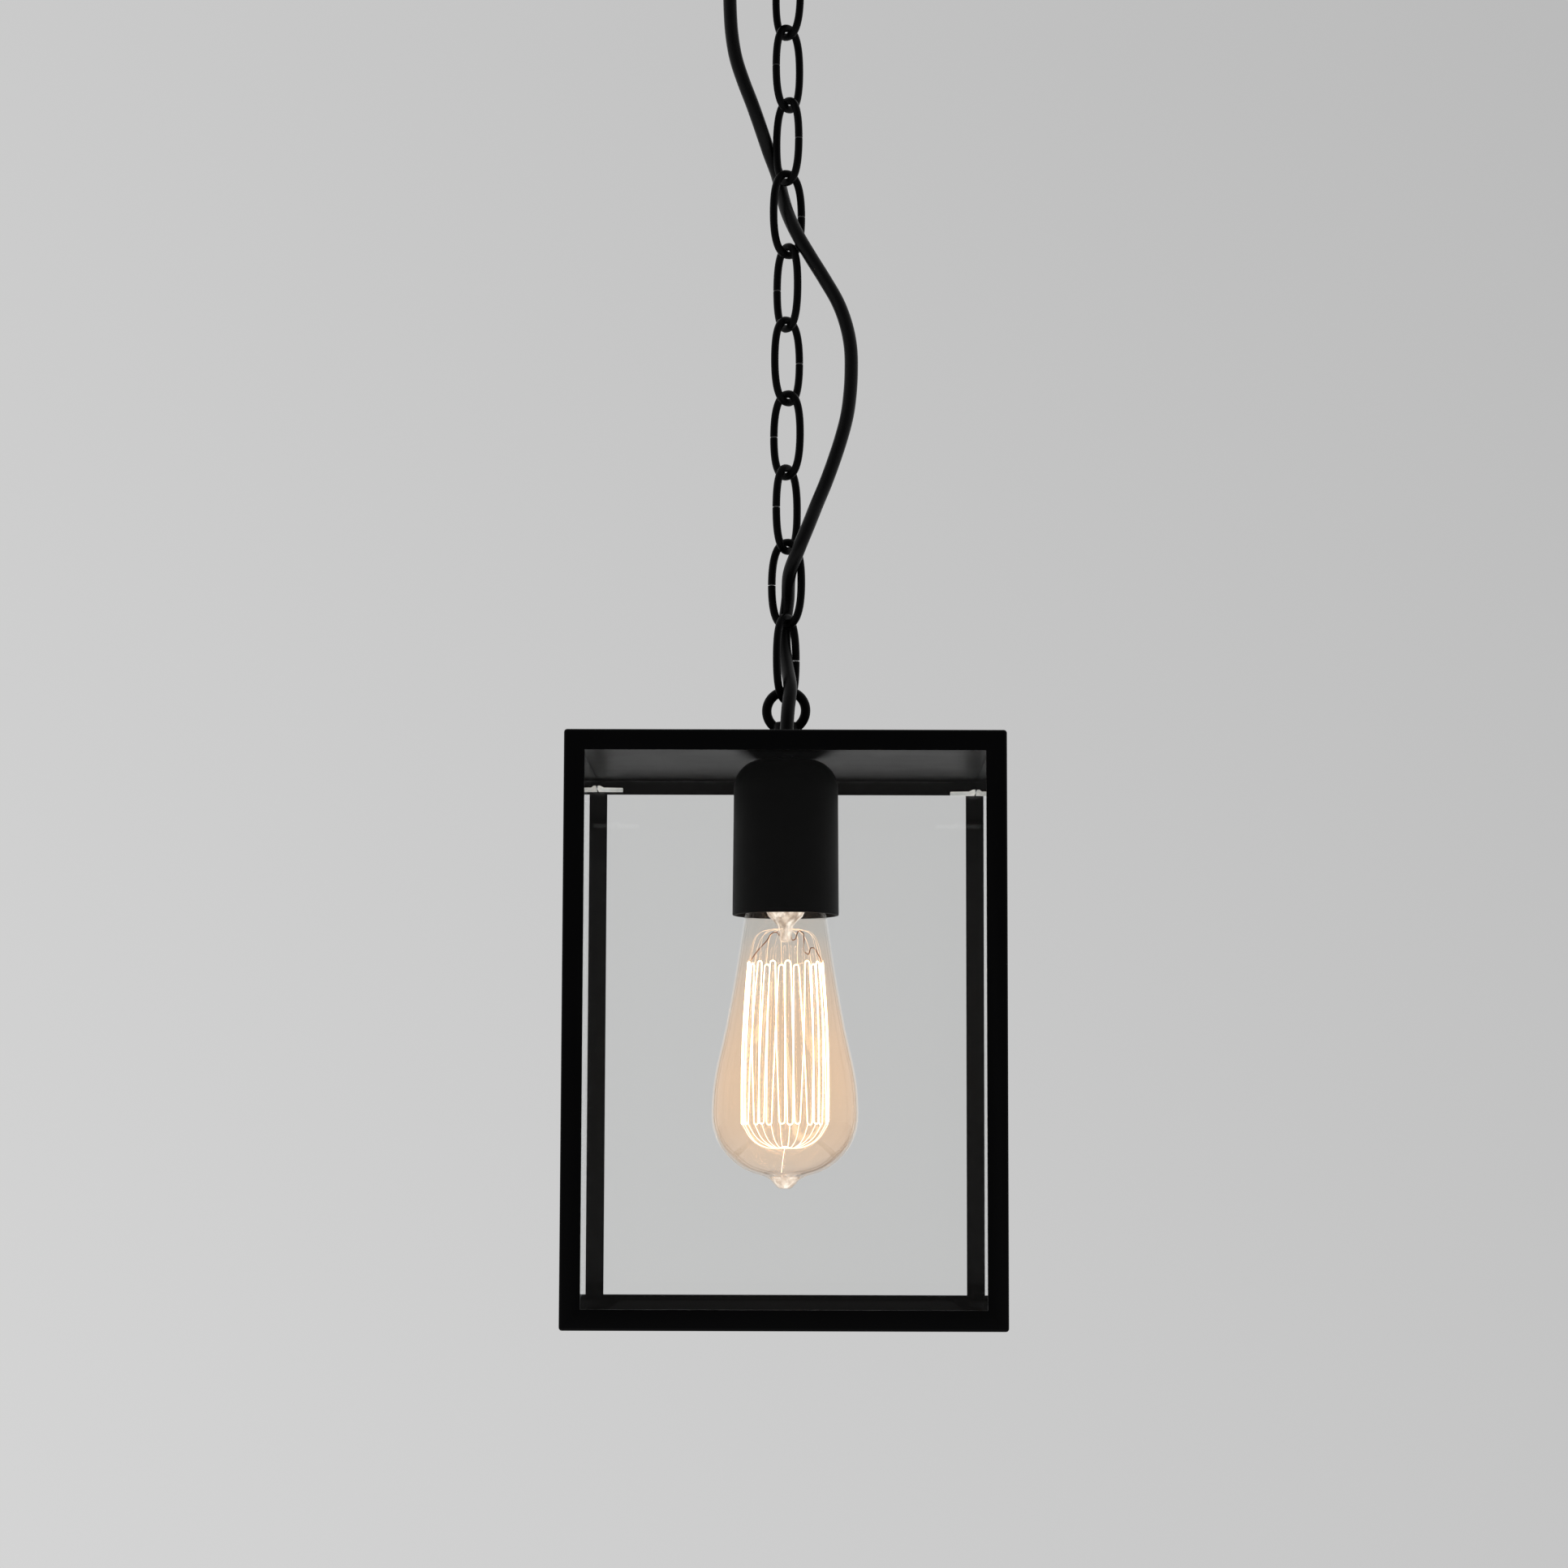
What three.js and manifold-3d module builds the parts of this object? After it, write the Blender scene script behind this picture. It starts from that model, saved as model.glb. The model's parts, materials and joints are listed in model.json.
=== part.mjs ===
// A hanging lantern: a ceiling fitting, an open-link chain with a round mains cable woven down it, and a
// glazed steel box that holds one screw-cap filament lamp.
// Millimetres, +Z up. The origin is on the ceiling, at the middle of the ceiling bracket's top face.

import * as THREE from 'three';
import { mergeVertices } from 'three/addons/utils/BufferGeometryUtils.js';
import Module from 'manifold-3d';

const wasm = await Module();
wasm.setup();

// Driving dimensions. Heights below the chain are measured up from the underside of the lantern box.
const CEILING = 640;
const BOX_WIDTH = 180;
const BOX_HEIGHT = 242.2;
const LEG = 8.5;
const STEEL = 1.2;
const EDGE_RADIUS = 1.2;
const GAP = 0.3;
const GLASS = 3;
const PLATE = 1;

const LINK_COUNT = 10;
const LINK_WIRE = 3.4;
const LINK_INSIDE = 33;
const LINK_WIDTH = 18.5;
const LINK_PITCH = LINK_INSIDE - GAP;
const LINK_FULLNESS = 2.4;
const LINK_SPLIT = 0.6;
const LINK_TURNS = [57, -32, 53.5, -41, 45, -53.5, 36.5, -50, 47.5, -45];
const LINK_SPLIT_SIDES = [1, -1, -1, -1, 1, -1, 1, 1, -1, 1];
const FIRST_CONTACT = 267.2;
const LAST_CONTACT = FIRST_CONTACT + LINK_COUNT * LINK_PITCH;

const RING_WIRE = 4.2;
const RING_RADIUS = 8.5;
const CEILING_RING_TURN = 45;
const LANTERN_RING_TURN = -10;
const COLLAR_RADIUS = 5.6;
const STEM_RADIUS = 4.9;
const STEM_HOLE = 5.3;

const CABLE_RADIUS = 2.95;
const CABLE_SIDES = 10;
const CABLE_HOLE = 4.2;
const CABLE_ENTRY_Y = -11;
const CABLE_TOP_X = -25.7;

const COVER_RADIUS = 22.4;
const COVER_RIM_RADIUS = 22.8;
const COVER_WALL = 1.6;
const COVER_RIM = 172.6;
const COVER_TOP = 239.65;

const THREAD_PITCH = 3.63;
const THREAD_DEPTH = 0.8;
const THREAD_STEPS = 3;
const CAP_RADIUS = 12.9;
const CAP_BOTTOM = 179;
const CAP_TOP = 200;

const CAGE_STRANDS = 28;
const CAGE_TOP = 151.5;
const CAGE_BOTTOM = 84.5;
const CAGE_TOP_RADIUS = 16;
const CAGE_BOTTOM_RADIUS = 18.6;
const FILAMENT_RADIUS = 0.3;

const CANOPY_RADIUS = 50;
const CANOPY_FLOOR = 615;
const CANOPY_WALL = 1.2;
const CANOPY_RIM = CEILING - GAP;
const TAB_X = 44.5;
const TAB_SCREW_Z = 631;

// Finishes
function finish(name, color, roughness, metalness) {
  return new THREE.MeshStandardMaterial({ name, color, roughness, metalness });
}

const blackPaint = finish('black_powder_coat', 0x17181a, 0.55, 0.2);
const blackPlastic = finish('black_holder_plastic', 0x1b1b1c, 0.7, 0);
const rubber = finish('cable_rubber', 0x141415, 0.5, 0);
const clearGlass = finish('window_glass', 0xdfe6e6, 0.05, 0);
const amberGlass = finish('lamp_glass', 0xf2dcb4, 0.05, 0);
const stemGlass = finish('stem_glass', 0xf5ead8, 0.1, 0);
const clearPlastic = finish('corner_clip_plastic', 0xd9dcdc, 0.3, 0);
const brass = finish('brass', 0xb08d57, 0.35, 1);
const zinc = finish('zinc_plate', 0xa8abad, 0.4, 1);
const porcelain = finish('porcelain', 0xf1efe8, 0.3, 0);
const blackGlass = finish('cap_insulator_glass', 0x101010, 0.2, 0);
const solder = finish('solder', 0xb9bcc0, 0.35, 1);
const hotWire = finish('filament_wire', 0xffc37a, 0.4, 1);
const supportWire = finish('support_wire', 0xc9b79a, 0.35, 1);
const whiteNylon = finish('terminal_nylon', 0xe9e6dc, 0.5, 0);

// Solids
const toManifold = (geometry) => new wasm.Manifold(new wasm.Mesh({
  numProp: 3,
  vertProperties: new Float32Array(geometry.getAttribute('position').array),
  triVerts: new Uint32Array(geometry.getIndex().array),
}));

function fromManifold(body) {
  const mesh = body.getMesh();
  const geometry = new THREE.BufferGeometry();
  geometry.setAttribute('position', new THREE.BufferAttribute(mesh.vertProperties, 3));
  geometry.setIndex(new THREE.BufferAttribute(mesh.triVerts, 1));
  return geometry;
}

function signedVolume(geometry) {
  const at = geometry.getAttribute('position');
  const index = geometry.getIndex();
  const corners = [new THREE.Vector3(), new THREE.Vector3(), new THREE.Vector3()];
  let volume = 0;
  for (let i = 0; i < index.count; i += 3) {
    corners.forEach((corner, k) => corner.fromBufferAttribute(at, index.getX(i + k)));
    volume += corners[0].dot(corners[1].cross(corners[2])) / 6;
  }
  return volume;
}

// One closed body with shared corners and its faces pointing out.
function solid(geometry) {
  geometry.deleteAttribute('normal');
  geometry.deleteAttribute('uv');
  const merged = mergeVertices(geometry, 1e-4);
  if (signedVolume(merged) < 0) {
    merged.index.array.reverse();
  }
  return merged;
}

function moved(geometry, x, y, z) {
  return geometry.translate(x, y, z);
}

function cut(body, ...tools) {
  return fromManifold(tools.reduce((left, tool) => left.subtract(toManifold(tool)), toManifold(body)));
}

function joined(body, ...others) {
  return fromManifold(others.reduce((left, other) => left.add(toManifold(other)), toManifold(body)));
}

// A turned body from [radius, height] pairs that start and end on the axis, or close on themselves.
function turned(profile, segments = 32) {
  const points = profile.map(([radius, height]) => new THREE.Vector2(radius, height));
  return solid(new THREE.LatheGeometry(points, segments).rotateX(Math.PI / 2));
}

function turnedRing(profile, segments = 32) {
  return turned([...profile, profile[0]], segments);
}

function rod(radius, bottom, top, segments = 24, x = 0, y = 0) {
  return moved(turned([[0, bottom], [radius, bottom], [radius, top], [0, top]], segments), x, y, 0);
}

function box(width, depth, height, x, y, z) {
  return moved(solid(new THREE.BoxGeometry(width, depth, height)), x, y, z);
}

function slab(outline, bottom, thickness) {
  const sheet = new THREE.ExtrudeGeometry(outline, { depth: thickness, bevelEnabled: false });
  return moved(solid(sheet), 0, 0, bottom);
}

function tube(points, radius, sides, steps) {
  const section = new THREE.Shape(
    Array.from({ length: sides }, (_, i) => new THREE.Vector2(
      radius * Math.cos((2 * Math.PI * i) / sides),
      radius * Math.sin((2 * Math.PI * i) / sides),
    )),
  );
  const path = new THREE.CatmullRomCurve3(points.map((p) => new THREE.Vector3(...p)), false, 'centripetal');
  return solid(new THREE.ExtrudeGeometry(section, { steps, bevelEnabled: false, extrudePath: path }));
}

const hangingLantern = new THREE.Group();
const ceilingFitting = new THREE.Group();
const chain = new THREE.Group();
const lantern = new THREE.Group();
const lamp = new THREE.Group();
for (const assembly of [ceilingFitting, chain, lantern, lamp]) {
  assembly.position.z = -CEILING;
  hangingLantern.add(assembly);
}

function addPiece(assembly, name, geometry, material) {
  const mesh = new THREE.Mesh(geometry, material);
  mesh.name = name;
  assembly.add(mesh);
}

const radians = THREE.MathUtils.degToRad;

// Ceiling fitting: a strap that screws to the ceiling, and a cup-shaped canopy on its turned-down ends.
function ceilingBracket() {
  const strapHalf = TAB_X + STEEL + 0.8;
  const tabDepth = 14;
  const strap = box(2 * strapHalf, 18, 2, 0, 0, CEILING - 1);
  const tabs = [-1, 1].map((side) => box(2, 18, tabDepth, side * (strapHalf - 1), 0, CEILING - tabDepth / 2));
  const fixingHoles = [-1, 1].map((side) => rod(2.5, CEILING - 4, CEILING + 4, 16, side * 28, 0));
  const tabHole = rod(2.1, -60, 60, 12).rotateY(Math.PI / 2).translate(0, 0, TAB_SCREW_Z);
  return cut(joined(strap, ...tabs), ...fixingHoles, tabHole);
}

function canopy() {
  const inner = CANOPY_RADIUS - CANOPY_WALL;
  const bend = 5;
  const cup = turnedRing([
    [STEM_HOLE, CANOPY_FLOOR],
    [CANOPY_RADIUS - bend, CANOPY_FLOOR],
    [CANOPY_RADIUS - 0.3 * bend, CANOPY_FLOOR + 0.3 * bend],
    [CANOPY_RADIUS, CANOPY_FLOOR + bend],
    [CANOPY_RADIUS, CANOPY_RIM],
    [inner, CANOPY_RIM],
    [inner, CANOPY_FLOOR + bend],
    [inner - 0.3 * bend, CANOPY_FLOOR + CANOPY_WALL + 0.3 * bend],
    [inner - bend, CANOPY_FLOOR + CANOPY_WALL],
    [STEM_HOLE, CANOPY_FLOOR + CANOPY_WALL],
  ], 40);
  const cableHole = rod(CABLE_HOLE, CANOPY_FLOOR - 4, CANOPY_FLOOR + 4, 20, CABLE_TOP_X, 0);
  const screwHoles = rod(2.1, -60, 60, 12).rotateY(Math.PI / 2).translate(0, 0, TAB_SCREW_Z);
  return cut(cup, cableHole, screwHoles);
}

function canopyScrew(side) {
  const head = CANOPY_RADIUS + GAP;
  const screw = turned([
    [0, 41],
    [1.7, 41],
    [1.7, head],
    [3.4, head],
    [3, head + 1.3],
    [1.6, head + 1.9],
    [0, head + 1.9],
  ], 16);
  return screw.rotateY((side * Math.PI) / 2).translate(0, 0, TAB_SCREW_Z);
}

// A ring on a collar with a threaded stem. It is drawn standing up from its seat at height 0.
function ringWithStem(stemLength, ringCentre) {
  const ring = solid(new THREE.TorusGeometry(RING_RADIUS, RING_WIRE / 2, 10, 28).rotateX(Math.PI / 2));
  const collarTop = ringCentre - RING_RADIUS + RING_WIRE / 2 + 1.4;
  const collar = turned([
    [0, -stemLength],
    [STEM_RADIUS - 0.6, -stemLength],
    [STEM_RADIUS, 0.6 - stemLength],
    [STEM_RADIUS, 0],
    [COLLAR_RADIUS, 0],
    [COLLAR_RADIUS, collarTop - 0.5],
    [COLLAR_RADIUS - 0.5, collarTop],
    [0, collarTop],
  ], 24);
  return joined(collar, moved(ring, 0, 0, ringCentre));
}

function hexNut(acrossFlats, hole, bottom, thickness) {
  const outline = new THREE.Shape(
    Array.from({ length: 6 }, (_, i) => new THREE.Vector2(
      (acrossFlats / Math.sqrt(3)) * Math.cos((Math.PI * i) / 3),
      (acrossFlats / Math.sqrt(3)) * Math.sin((Math.PI * i) / 3),
    )),
  );
  return cut(slab(outline, bottom, thickness), rod(hole, bottom - 1, bottom + thickness + 1, 20));
}

// A flanged bush that grips the cable where it passes through sheet metal. The flange is outside the sheet.
function cordGrip(flangeFace, outward, flangeHeight, barrelLength) {
  const at = (length) => flangeFace + outward * length;
  const bore = CABLE_RADIUS + GAP;
  return turnedRing([
    [bore, at(-barrelLength)],
    [CABLE_HOLE - GAP, at(-barrelLength)],
    [CABLE_HOLE - GAP, at(0)],
    [4.8, at(0)],
    [4.8, at(0.5 * flangeHeight)],
    [bore + 0.5, at(flangeHeight)],
    [bore, at(flangeHeight)],
  ], 24);
}

function terminalBlock() {
  const body = box(24, 12, 10, 0, 21, CANOPY_FLOOR + CANOPY_WALL + 5 + GAP);
  const ways = [-7, 0, 7].map((x) => rod(1.6, 10, 32, 10, x, 0)
    .rotateX(-Math.PI / 2)
    .translate(0, 0, CANOPY_FLOOR + CANOPY_WALL + 5 + GAP));
  return cut(body, ...ways);
}

addPiece(ceilingFitting, 'ceiling_bracket', ceilingBracket(), zinc);
addPiece(ceilingFitting, 'canopy', canopy(), blackPaint);
addPiece(ceilingFitting, 'canopy_screw_left', canopyScrew(-1), blackPaint);
addPiece(ceilingFitting, 'canopy_screw_right', canopyScrew(1), blackPaint);
const ceilingRingCentre = LAST_CONTACT - GAP / 2 - RING_WIRE / 2 + RING_RADIUS;
addPiece(
  ceilingFitting,
  'ceiling_loop',
  solid(ringWithStem(11, CANOPY_FLOOR - GAP - ceilingRingCentre)
    .rotateX(Math.PI)
    .rotateZ(radians(CEILING_RING_TURN))
    .translate(0, 0, CANOPY_FLOOR - GAP)),
  blackPaint,
);
addPiece(
  ceilingFitting,
  'ceiling_loop_nut',
  hexNut(15, STEM_RADIUS + GAP, CANOPY_FLOOR + CANOPY_WALL + GAP, 4),
  zinc,
);
addPiece(
  ceilingFitting,
  'canopy_cord_grip',
  moved(cordGrip(CANOPY_FLOOR - GAP, -1, 9, 9), CABLE_TOP_X, 0, 0),
  blackPlastic,
);
addPiece(ceilingFitting, 'terminal_block', terminalBlock(), whiteNylon);

// Chain: open wire links. The outline is a rounded-off ellipse, split at mid height on one side.
function linkOutline(angle) {
  const halfWidth = (LINK_WIDTH - LINK_WIRE) / 2;
  const halfHeight = (LINK_INSIDE + LINK_WIRE) / 2;
  const bulge = (value) => Math.sign(value) * Math.abs(value) ** (2 / LINK_FULLNESS);
  return [halfWidth * bulge(Math.cos(angle)), 0, halfHeight * bulge(Math.sin(angle))];
}

function chainLink(index) {
  const samples = 24;
  const splitAngle = Math.asin(((LINK_SPLIT / (LINK_INSIDE + LINK_WIRE)) ** (LINK_FULLNESS / 2)));
  const start = LINK_SPLIT_SIDES[index] > 0 ? 0 : Math.PI;
  const points = Array.from({ length: samples + 1 }, (_, i) => {
    const share = i / samples;
    return linkOutline(start + splitAngle + share * (2 * Math.PI - 2 * splitAngle));
  });
  const height = FIRST_CONTACT + (index + 0.5) * LINK_PITCH;
  return tube(points, LINK_WIRE / 2, 8, samples)
    .rotateZ(radians(LINK_TURNS[index]))
    .translate(0, 0, height);
}

for (let index = 0; index < LINK_COUNT; index += 1) {
  addPiece(chain, `chain_link_${String(index + 1).padStart(2, '0')}`, chainLink(index), blackPaint);
}

// Lantern box: mitred angle-steel rails top and bottom, with an angle post at each corner.
const HALF = BOX_WIDTH / 2;

function angleSection() {
  const section = new THREE.Shape();
  section.moveTo(LEG, 0);
  section.lineTo(LEG, STEEL);
  section.lineTo(STEEL, STEEL);
  section.lineTo(STEEL, LEG);
  section.lineTo(0, LEG);
  section.lineTo(0, EDGE_RADIUS);
  section.absarc(EDGE_RADIUS, EDGE_RADIUS, EDGE_RADIUS, Math.PI, 1.5 * Math.PI, false);
  section.closePath();
  return section;
}

// place(first leg, second leg, end) gives a corner's position; end is -1 or 1.
function angleBar(place) {
  const bar = new THREE.ExtrudeGeometry(angleSection(), { depth: 2, bevelEnabled: false, curveSegments: 3 });
  const corners = bar.getAttribute('position');
  for (let i = 0; i < corners.count; i += 1) {
    corners.setXYZ(i, ...place(corners.getX(i), corners.getY(i), corners.getZ(i) - 1));
  }
  return solid(bar);
}

function rail(level, sideTurn) {
  const height = (up) => (level === 'top' ? BOX_HEIGHT - up : up);
  const bar = angleBar((inward, up, end) => [end * (HALF - inward - GAP / 2), inward - HALF, height(up)]);
  return bar.rotateZ(radians(sideTurn));
}

function post(sideX, sideY) {
  const middle = BOX_HEIGHT / 2;
  const reach = middle - LEG - GAP / 2;
  return angleBar((inX, inY, end) => [sideX * (HALF - inX), sideY * (HALF - inY), middle + end * reach]);
}

const SIDES = { front: 0, right: 90, back: 180, left: 270 };
for (const [side, sideTurn] of Object.entries(SIDES)) {
  addPiece(lantern, `top_rail_${side}`, rail('top', sideTurn), blackPaint);
  addPiece(lantern, `bottom_rail_${side}`, rail('bottom', sideTurn), blackPaint);
}

const CORNERS = { front_left: [-1, -1], front_right: [1, -1], back_left: [-1, 1], back_right: [1, 1] };
for (const [corner, [sideX, sideY]] of Object.entries(CORNERS)) {
  addPiece(lantern, `post_${corner}`, post(sideX, sideY), blackPaint);
}

// Top plate, under the top rails' flanges
const PLATE_TOP = BOX_HEIGHT - STEEL - 0.05;
const PLATE_HALF = HALF - STEEL - GAP;

function topPlate() {
  const plate = box(2 * PLATE_HALF, 2 * PLATE_HALF, PLATE, 0, 0, PLATE_TOP - PLATE / 2);
  const stemHole = rod(STEM_HOLE, PLATE_TOP - 4, PLATE_TOP + 4, 20);
  const cableHole = rod(CABLE_HOLE, PLATE_TOP - 4, PLATE_TOP + 4, 20, 0, CABLE_ENTRY_Y);
  return cut(plate, stemHole, cableHole);
}

addPiece(lantern, 'top_plate', topPlate(), blackPaint);

// Glass panes: front and back run full width, and the side panes fit between them.
const PANE_BOTTOM = STEEL + GAP;
const PANE_TOP = PLATE_TOP - PLATE - GAP;
const PANE_MIDDLE = HALF - STEEL - GAP - GLASS / 2;

function pane(width, sideTurn) {
  const height = PANE_TOP - PANE_BOTTOM;
  return box(width, GLASS, height, 0, -PANE_MIDDLE, PANE_BOTTOM + height / 2).rotateZ(radians(sideTurn));
}

for (const [side, sideTurn] of Object.entries(SIDES)) {
  const between = side === 'left' || side === 'right';
  const width = 2 * (between ? PANE_MIDDLE - GLASS / 2 - GAP : PLATE_HALF);
  addPiece(lantern, `glass_${side}`, pane(width, sideTurn), clearGlass);
}

// Corner clips: small moulded wedges that keep the panes apart at the top corners
const CLIP_LEG = 11;
const CLIP_THICKNESS = 1.8;
const CLIP_HEIGHTS = { front_left: 234.4, front_right: 234.4, back_left: 234.4, back_right: 233 };

function cornerClip(corner) {
  const [sideX, sideY] = CORNERS[corner];
  const inside = PANE_MIDDLE - GLASS / 2 - GAP;
  const outline = new THREE.Shape([
    new THREE.Vector2(sideX * inside, sideY * inside),
    new THREE.Vector2(sideX * (inside - CLIP_LEG), sideY * inside),
    new THREE.Vector2(sideX * (inside - CLIP_LEG), sideY * (inside - 1)),
    new THREE.Vector2(sideX * (inside - 3), sideY * (inside - 3)),
    new THREE.Vector2(sideX * (inside - 1), sideY * (inside - CLIP_LEG)),
    new THREE.Vector2(sideX * inside, sideY * (inside - CLIP_LEG)),
  ]);
  return slab(outline, CLIP_HEIGHTS[corner], CLIP_THICKNESS);
}

for (const corner of Object.keys(CORNERS)) {
  addPiece(lantern, `corner_clip_${corner}`, cornerClip(corner), clearPlastic);
}

// Hanging loop, its lock nut and the cable's grip
const LOOP_SEAT = PLATE_TOP + GAP;
const LOOP_RING_CENTRE = FIRST_CONTACT + GAP / 2 + RING_WIRE / 2 - RING_RADIUS;
addPiece(
  lantern,
  'lantern_loop',
  solid(ringWithStem(15.2, LOOP_RING_CENTRE - LOOP_SEAT)
    .rotateZ(radians(LANTERN_RING_TURN))
    .translate(0, 0, LOOP_SEAT)),
  blackPaint,
);
const LOCK_NUT = 3;
addPiece(
  lantern,
  'loop_lock_nut',
  hexNut(14, STEM_RADIUS + GAP, COVER_TOP - COVER_WALL - GAP - LOCK_NUT, LOCK_NUT),
  zinc,
);
addPiece(
  lantern,
  'lantern_cord_grip',
  moved(cordGrip(LOOP_SEAT, 1, 9, 5.5), 0, CABLE_ENTRY_Y, 0),
  blackPlastic,
);

// Lampholder: a domed cover over a porcelain body with its screw shell and centre contact
function holderCover() {
  const dome = 12.5;
  const flat = 9.8;
  const arc = [0, 0.33, 0.67, 1].map((share) => (share * Math.PI) / 2);
  const outside = arc.map((angle) => [
    flat + (COVER_RADIUS - flat) * Math.cos(angle),
    COVER_TOP - dome + dome * Math.sin(angle),
  ]);
  const inside = arc.map((angle) => [
    flat + (COVER_RADIUS - COVER_WALL - flat) * Math.cos(angle),
    COVER_TOP - dome + (dome - COVER_WALL) * Math.sin(angle),
  ]).reverse();
  const shell = turnedRing([
    [COVER_RIM_RADIUS, COVER_RIM],
    ...outside,
    [STEM_HOLE, COVER_TOP],
    [STEM_HOLE, COVER_TOP - COVER_WALL],
    ...inside,
    [COVER_RIM_RADIUS - COVER_WALL, COVER_RIM],
  ], 36);
  return cut(shell, rod(CABLE_HOLE, COVER_TOP - 6, COVER_TOP + 2, 20, 0, CABLE_ENTRY_Y));
}

function holderBody() {
  const stemSocket = STEM_RADIUS + GAP;
  return turned([
    [0, 222],
    [stemSocket, 222],
    [stemSocket, 228],
    [17, 228],
    [20, 222],
    [20, 182],
    [15.4, 182],
    [15.4, 212],
    [0, 212],
  ], 28);
}

// Turned ridges that stand for a screw thread of the given mean radius.
function ridges(radius, bottom, turns) {
  const count = turns * THREAD_STEPS;
  return Array.from({ length: count + 1 }, (_, i) => [
    radius + (THREAD_DEPTH / 2) * Math.cos((2 * Math.PI * i) / THREAD_STEPS),
    bottom + (THREAD_PITCH * i) / THREAD_STEPS,
  ]);
}

const SHELL_BOTTOM = 184;
const SHELL_TURNS = 5;

function screwShell() {
  const top = SHELL_BOTTOM + SHELL_TURNS * THREAD_PITCH;
  return turnedRing([
    ...ridges(CAP_RADIUS + 0.6, SHELL_BOTTOM, SHELL_TURNS),
    [14.6, top],
    [14.6, SHELL_BOTTOM],
  ], 24);
}

function centreContact() {
  const blade = box(14, 5, 0.6, 0, 0, 209.2);
  const dimple = turned([[0, 207.8], [2, 207.8], [3, 209.2], [0, 209.2]], 12);
  return joined(blade, dimple);
}

addPiece(lantern, 'holder_cover', holderCover(), blackPlastic);
addPiece(lantern, 'holder_body', holderBody(), porcelain);
addPiece(lantern, 'screw_shell', screwShell(), brass);
addPiece(lantern, 'centre_contact', centreContact(), brass);

// Lamp: a tapered glass envelope on a screw cap, with a squirrel-cage filament
const ENVELOPE = [
  [2.8, 56.5], [3.9, 58.9], [5.9, 61.3], [14, 62.6], [21.6, 67.2], [27.2, 73.6], [30.4, 81], [31.3, 88.8],
  [30.9, 98], [29.2, 108], [22.3, 144.4], [18, 171], [16.6, 175], [12.6, 178.2], [11.4, 178.7], [11.4, 186],
];
const ENVELOPE_WALL = 1;

function envelope() {
  const inside = ENVELOPE.slice(2).map(([radius, height], i) => (
    [radius - ENVELOPE_WALL, i < 5 ? height + ENVELOPE_WALL : height]
  )).reverse();
  return turned([[0, 56.1], ...ENVELOPE, ...inside, [0, 61.6]], 32);
}

function lampCap() {
  const threadBottom = CAP_BOTTOM + 2;
  const threadTurns = 4;
  const threadTop = threadBottom + threadTurns * THREAD_PITCH;
  return turnedRing([
    [CAP_RADIUS, CAP_BOTTOM],
    ...ridges(CAP_RADIUS - THREAD_DEPTH / 2, threadBottom, threadTurns),
    [CAP_RADIUS - 0.6, threadTop + 1.5],
    [9.2, CAP_TOP],
    [8.8, CAP_TOP - 0.4],
    [11.8, threadTop + 1],
    [11.8, CAP_BOTTOM],
  ], 24);
}

addPiece(lamp, 'lamp_envelope', envelope(), amberGlass);
addPiece(lamp, 'lamp_cap', lampCap(), brass);
addPiece(
  lamp,
  'cap_insulator',
  turned([[0, 198.2], [8.4, 198.2], [8.4, 200.8], [4.6, 204.2], [0, 204.2]], 20),
  blackGlass,
);
addPiece(
  lamp,
  'cap_contact',
  turned([[0, 204.5], [3.6, 204.5], [3.2, 206.2], [1.6, 207.1], [0, 207.1]], 16),
  solder,
);
addPiece(
  lamp,
  'glass_stem',
  turned([
    [0, 161],
    [2.6, 161.4],
    [3.4, 163],
    [3.4, 167.6],
    [7.2, 171.6],
    [9.2, 176],
    [9.8, 184],
    [9.8, 186],
    [0, 186],
  ], 16),
  stemGlass,
);

// The cage's radius swells a little towards the bottom.
function cageRadius(height) {
  const share = (CAGE_TOP - height) / (CAGE_TOP - CAGE_BOTTOM);
  return THREE.MathUtils.lerp(CAGE_TOP_RADIUS, CAGE_BOTTOM_RADIUS, share) + 0.9 * Math.sin(Math.PI * share);
}

function aroundAxis(radius, angle, height) {
  return [radius * Math.cos(angle), radius * Math.sin(angle), height];
}

function filament() {
  const levels = [CAGE_BOTTOM, (CAGE_BOTTOM + CAGE_TOP) / 2, CAGE_TOP];
  const points = [];
  for (let strand = 0; strand < CAGE_STRANDS; strand += 1) {
    const angle = (2 * Math.PI * (strand + 0.5)) / CAGE_STRANDS;
    const order = strand % 2 ? [...levels].reverse() : levels;
    order.forEach((height) => points.push(aroundAxis(cageRadius(height), angle, height)));
  }
  return tube(points, FILAMENT_RADIUS, 5, 4 * CAGE_STRANDS);
}

const SUPPORT_COUNT = 14;
const SUPPORT_RADIUS = 0.25;

function spider(hub, arm) {
  const arms = Array.from({ length: SUPPORT_COUNT }, (_, i) => {
    const angle = (2 * Math.PI * i) / SUPPORT_COUNT;
    return tube(arm.map(([radius, height]) => aroundAxis(radius, angle, height)), SUPPORT_RADIUS, 4, 4);
  });
  return joined(hub, ...arms);
}

function upperSupports() {
  const collar = turnedRing([[3.9, 166], [4.7, 166], [4.7, 167], [3.9, 167]], 16);
  return spider(collar, [[4.3, 166.5], [9, 162.5], [13.5, 156.5], [15.6, 153.4]]);
}

function lowerSupports() {
  const knot = turned([[0, 72.6], [1.1, 73], [1.4, 74], [0.9, 75], [0, 75.2]], 10);
  return spider(knot, [[0.6, 73.6], [8, 73.8], [14.2, 77.4], [17.3, 81.2]]);
}

addPiece(lamp, 'filament', filament(), hotWire);
addPiece(lamp, 'upper_supports', upperSupports(), supportWire);
addPiece(lamp, 'lower_supports', lowerSupports(), supportWire);

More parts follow.
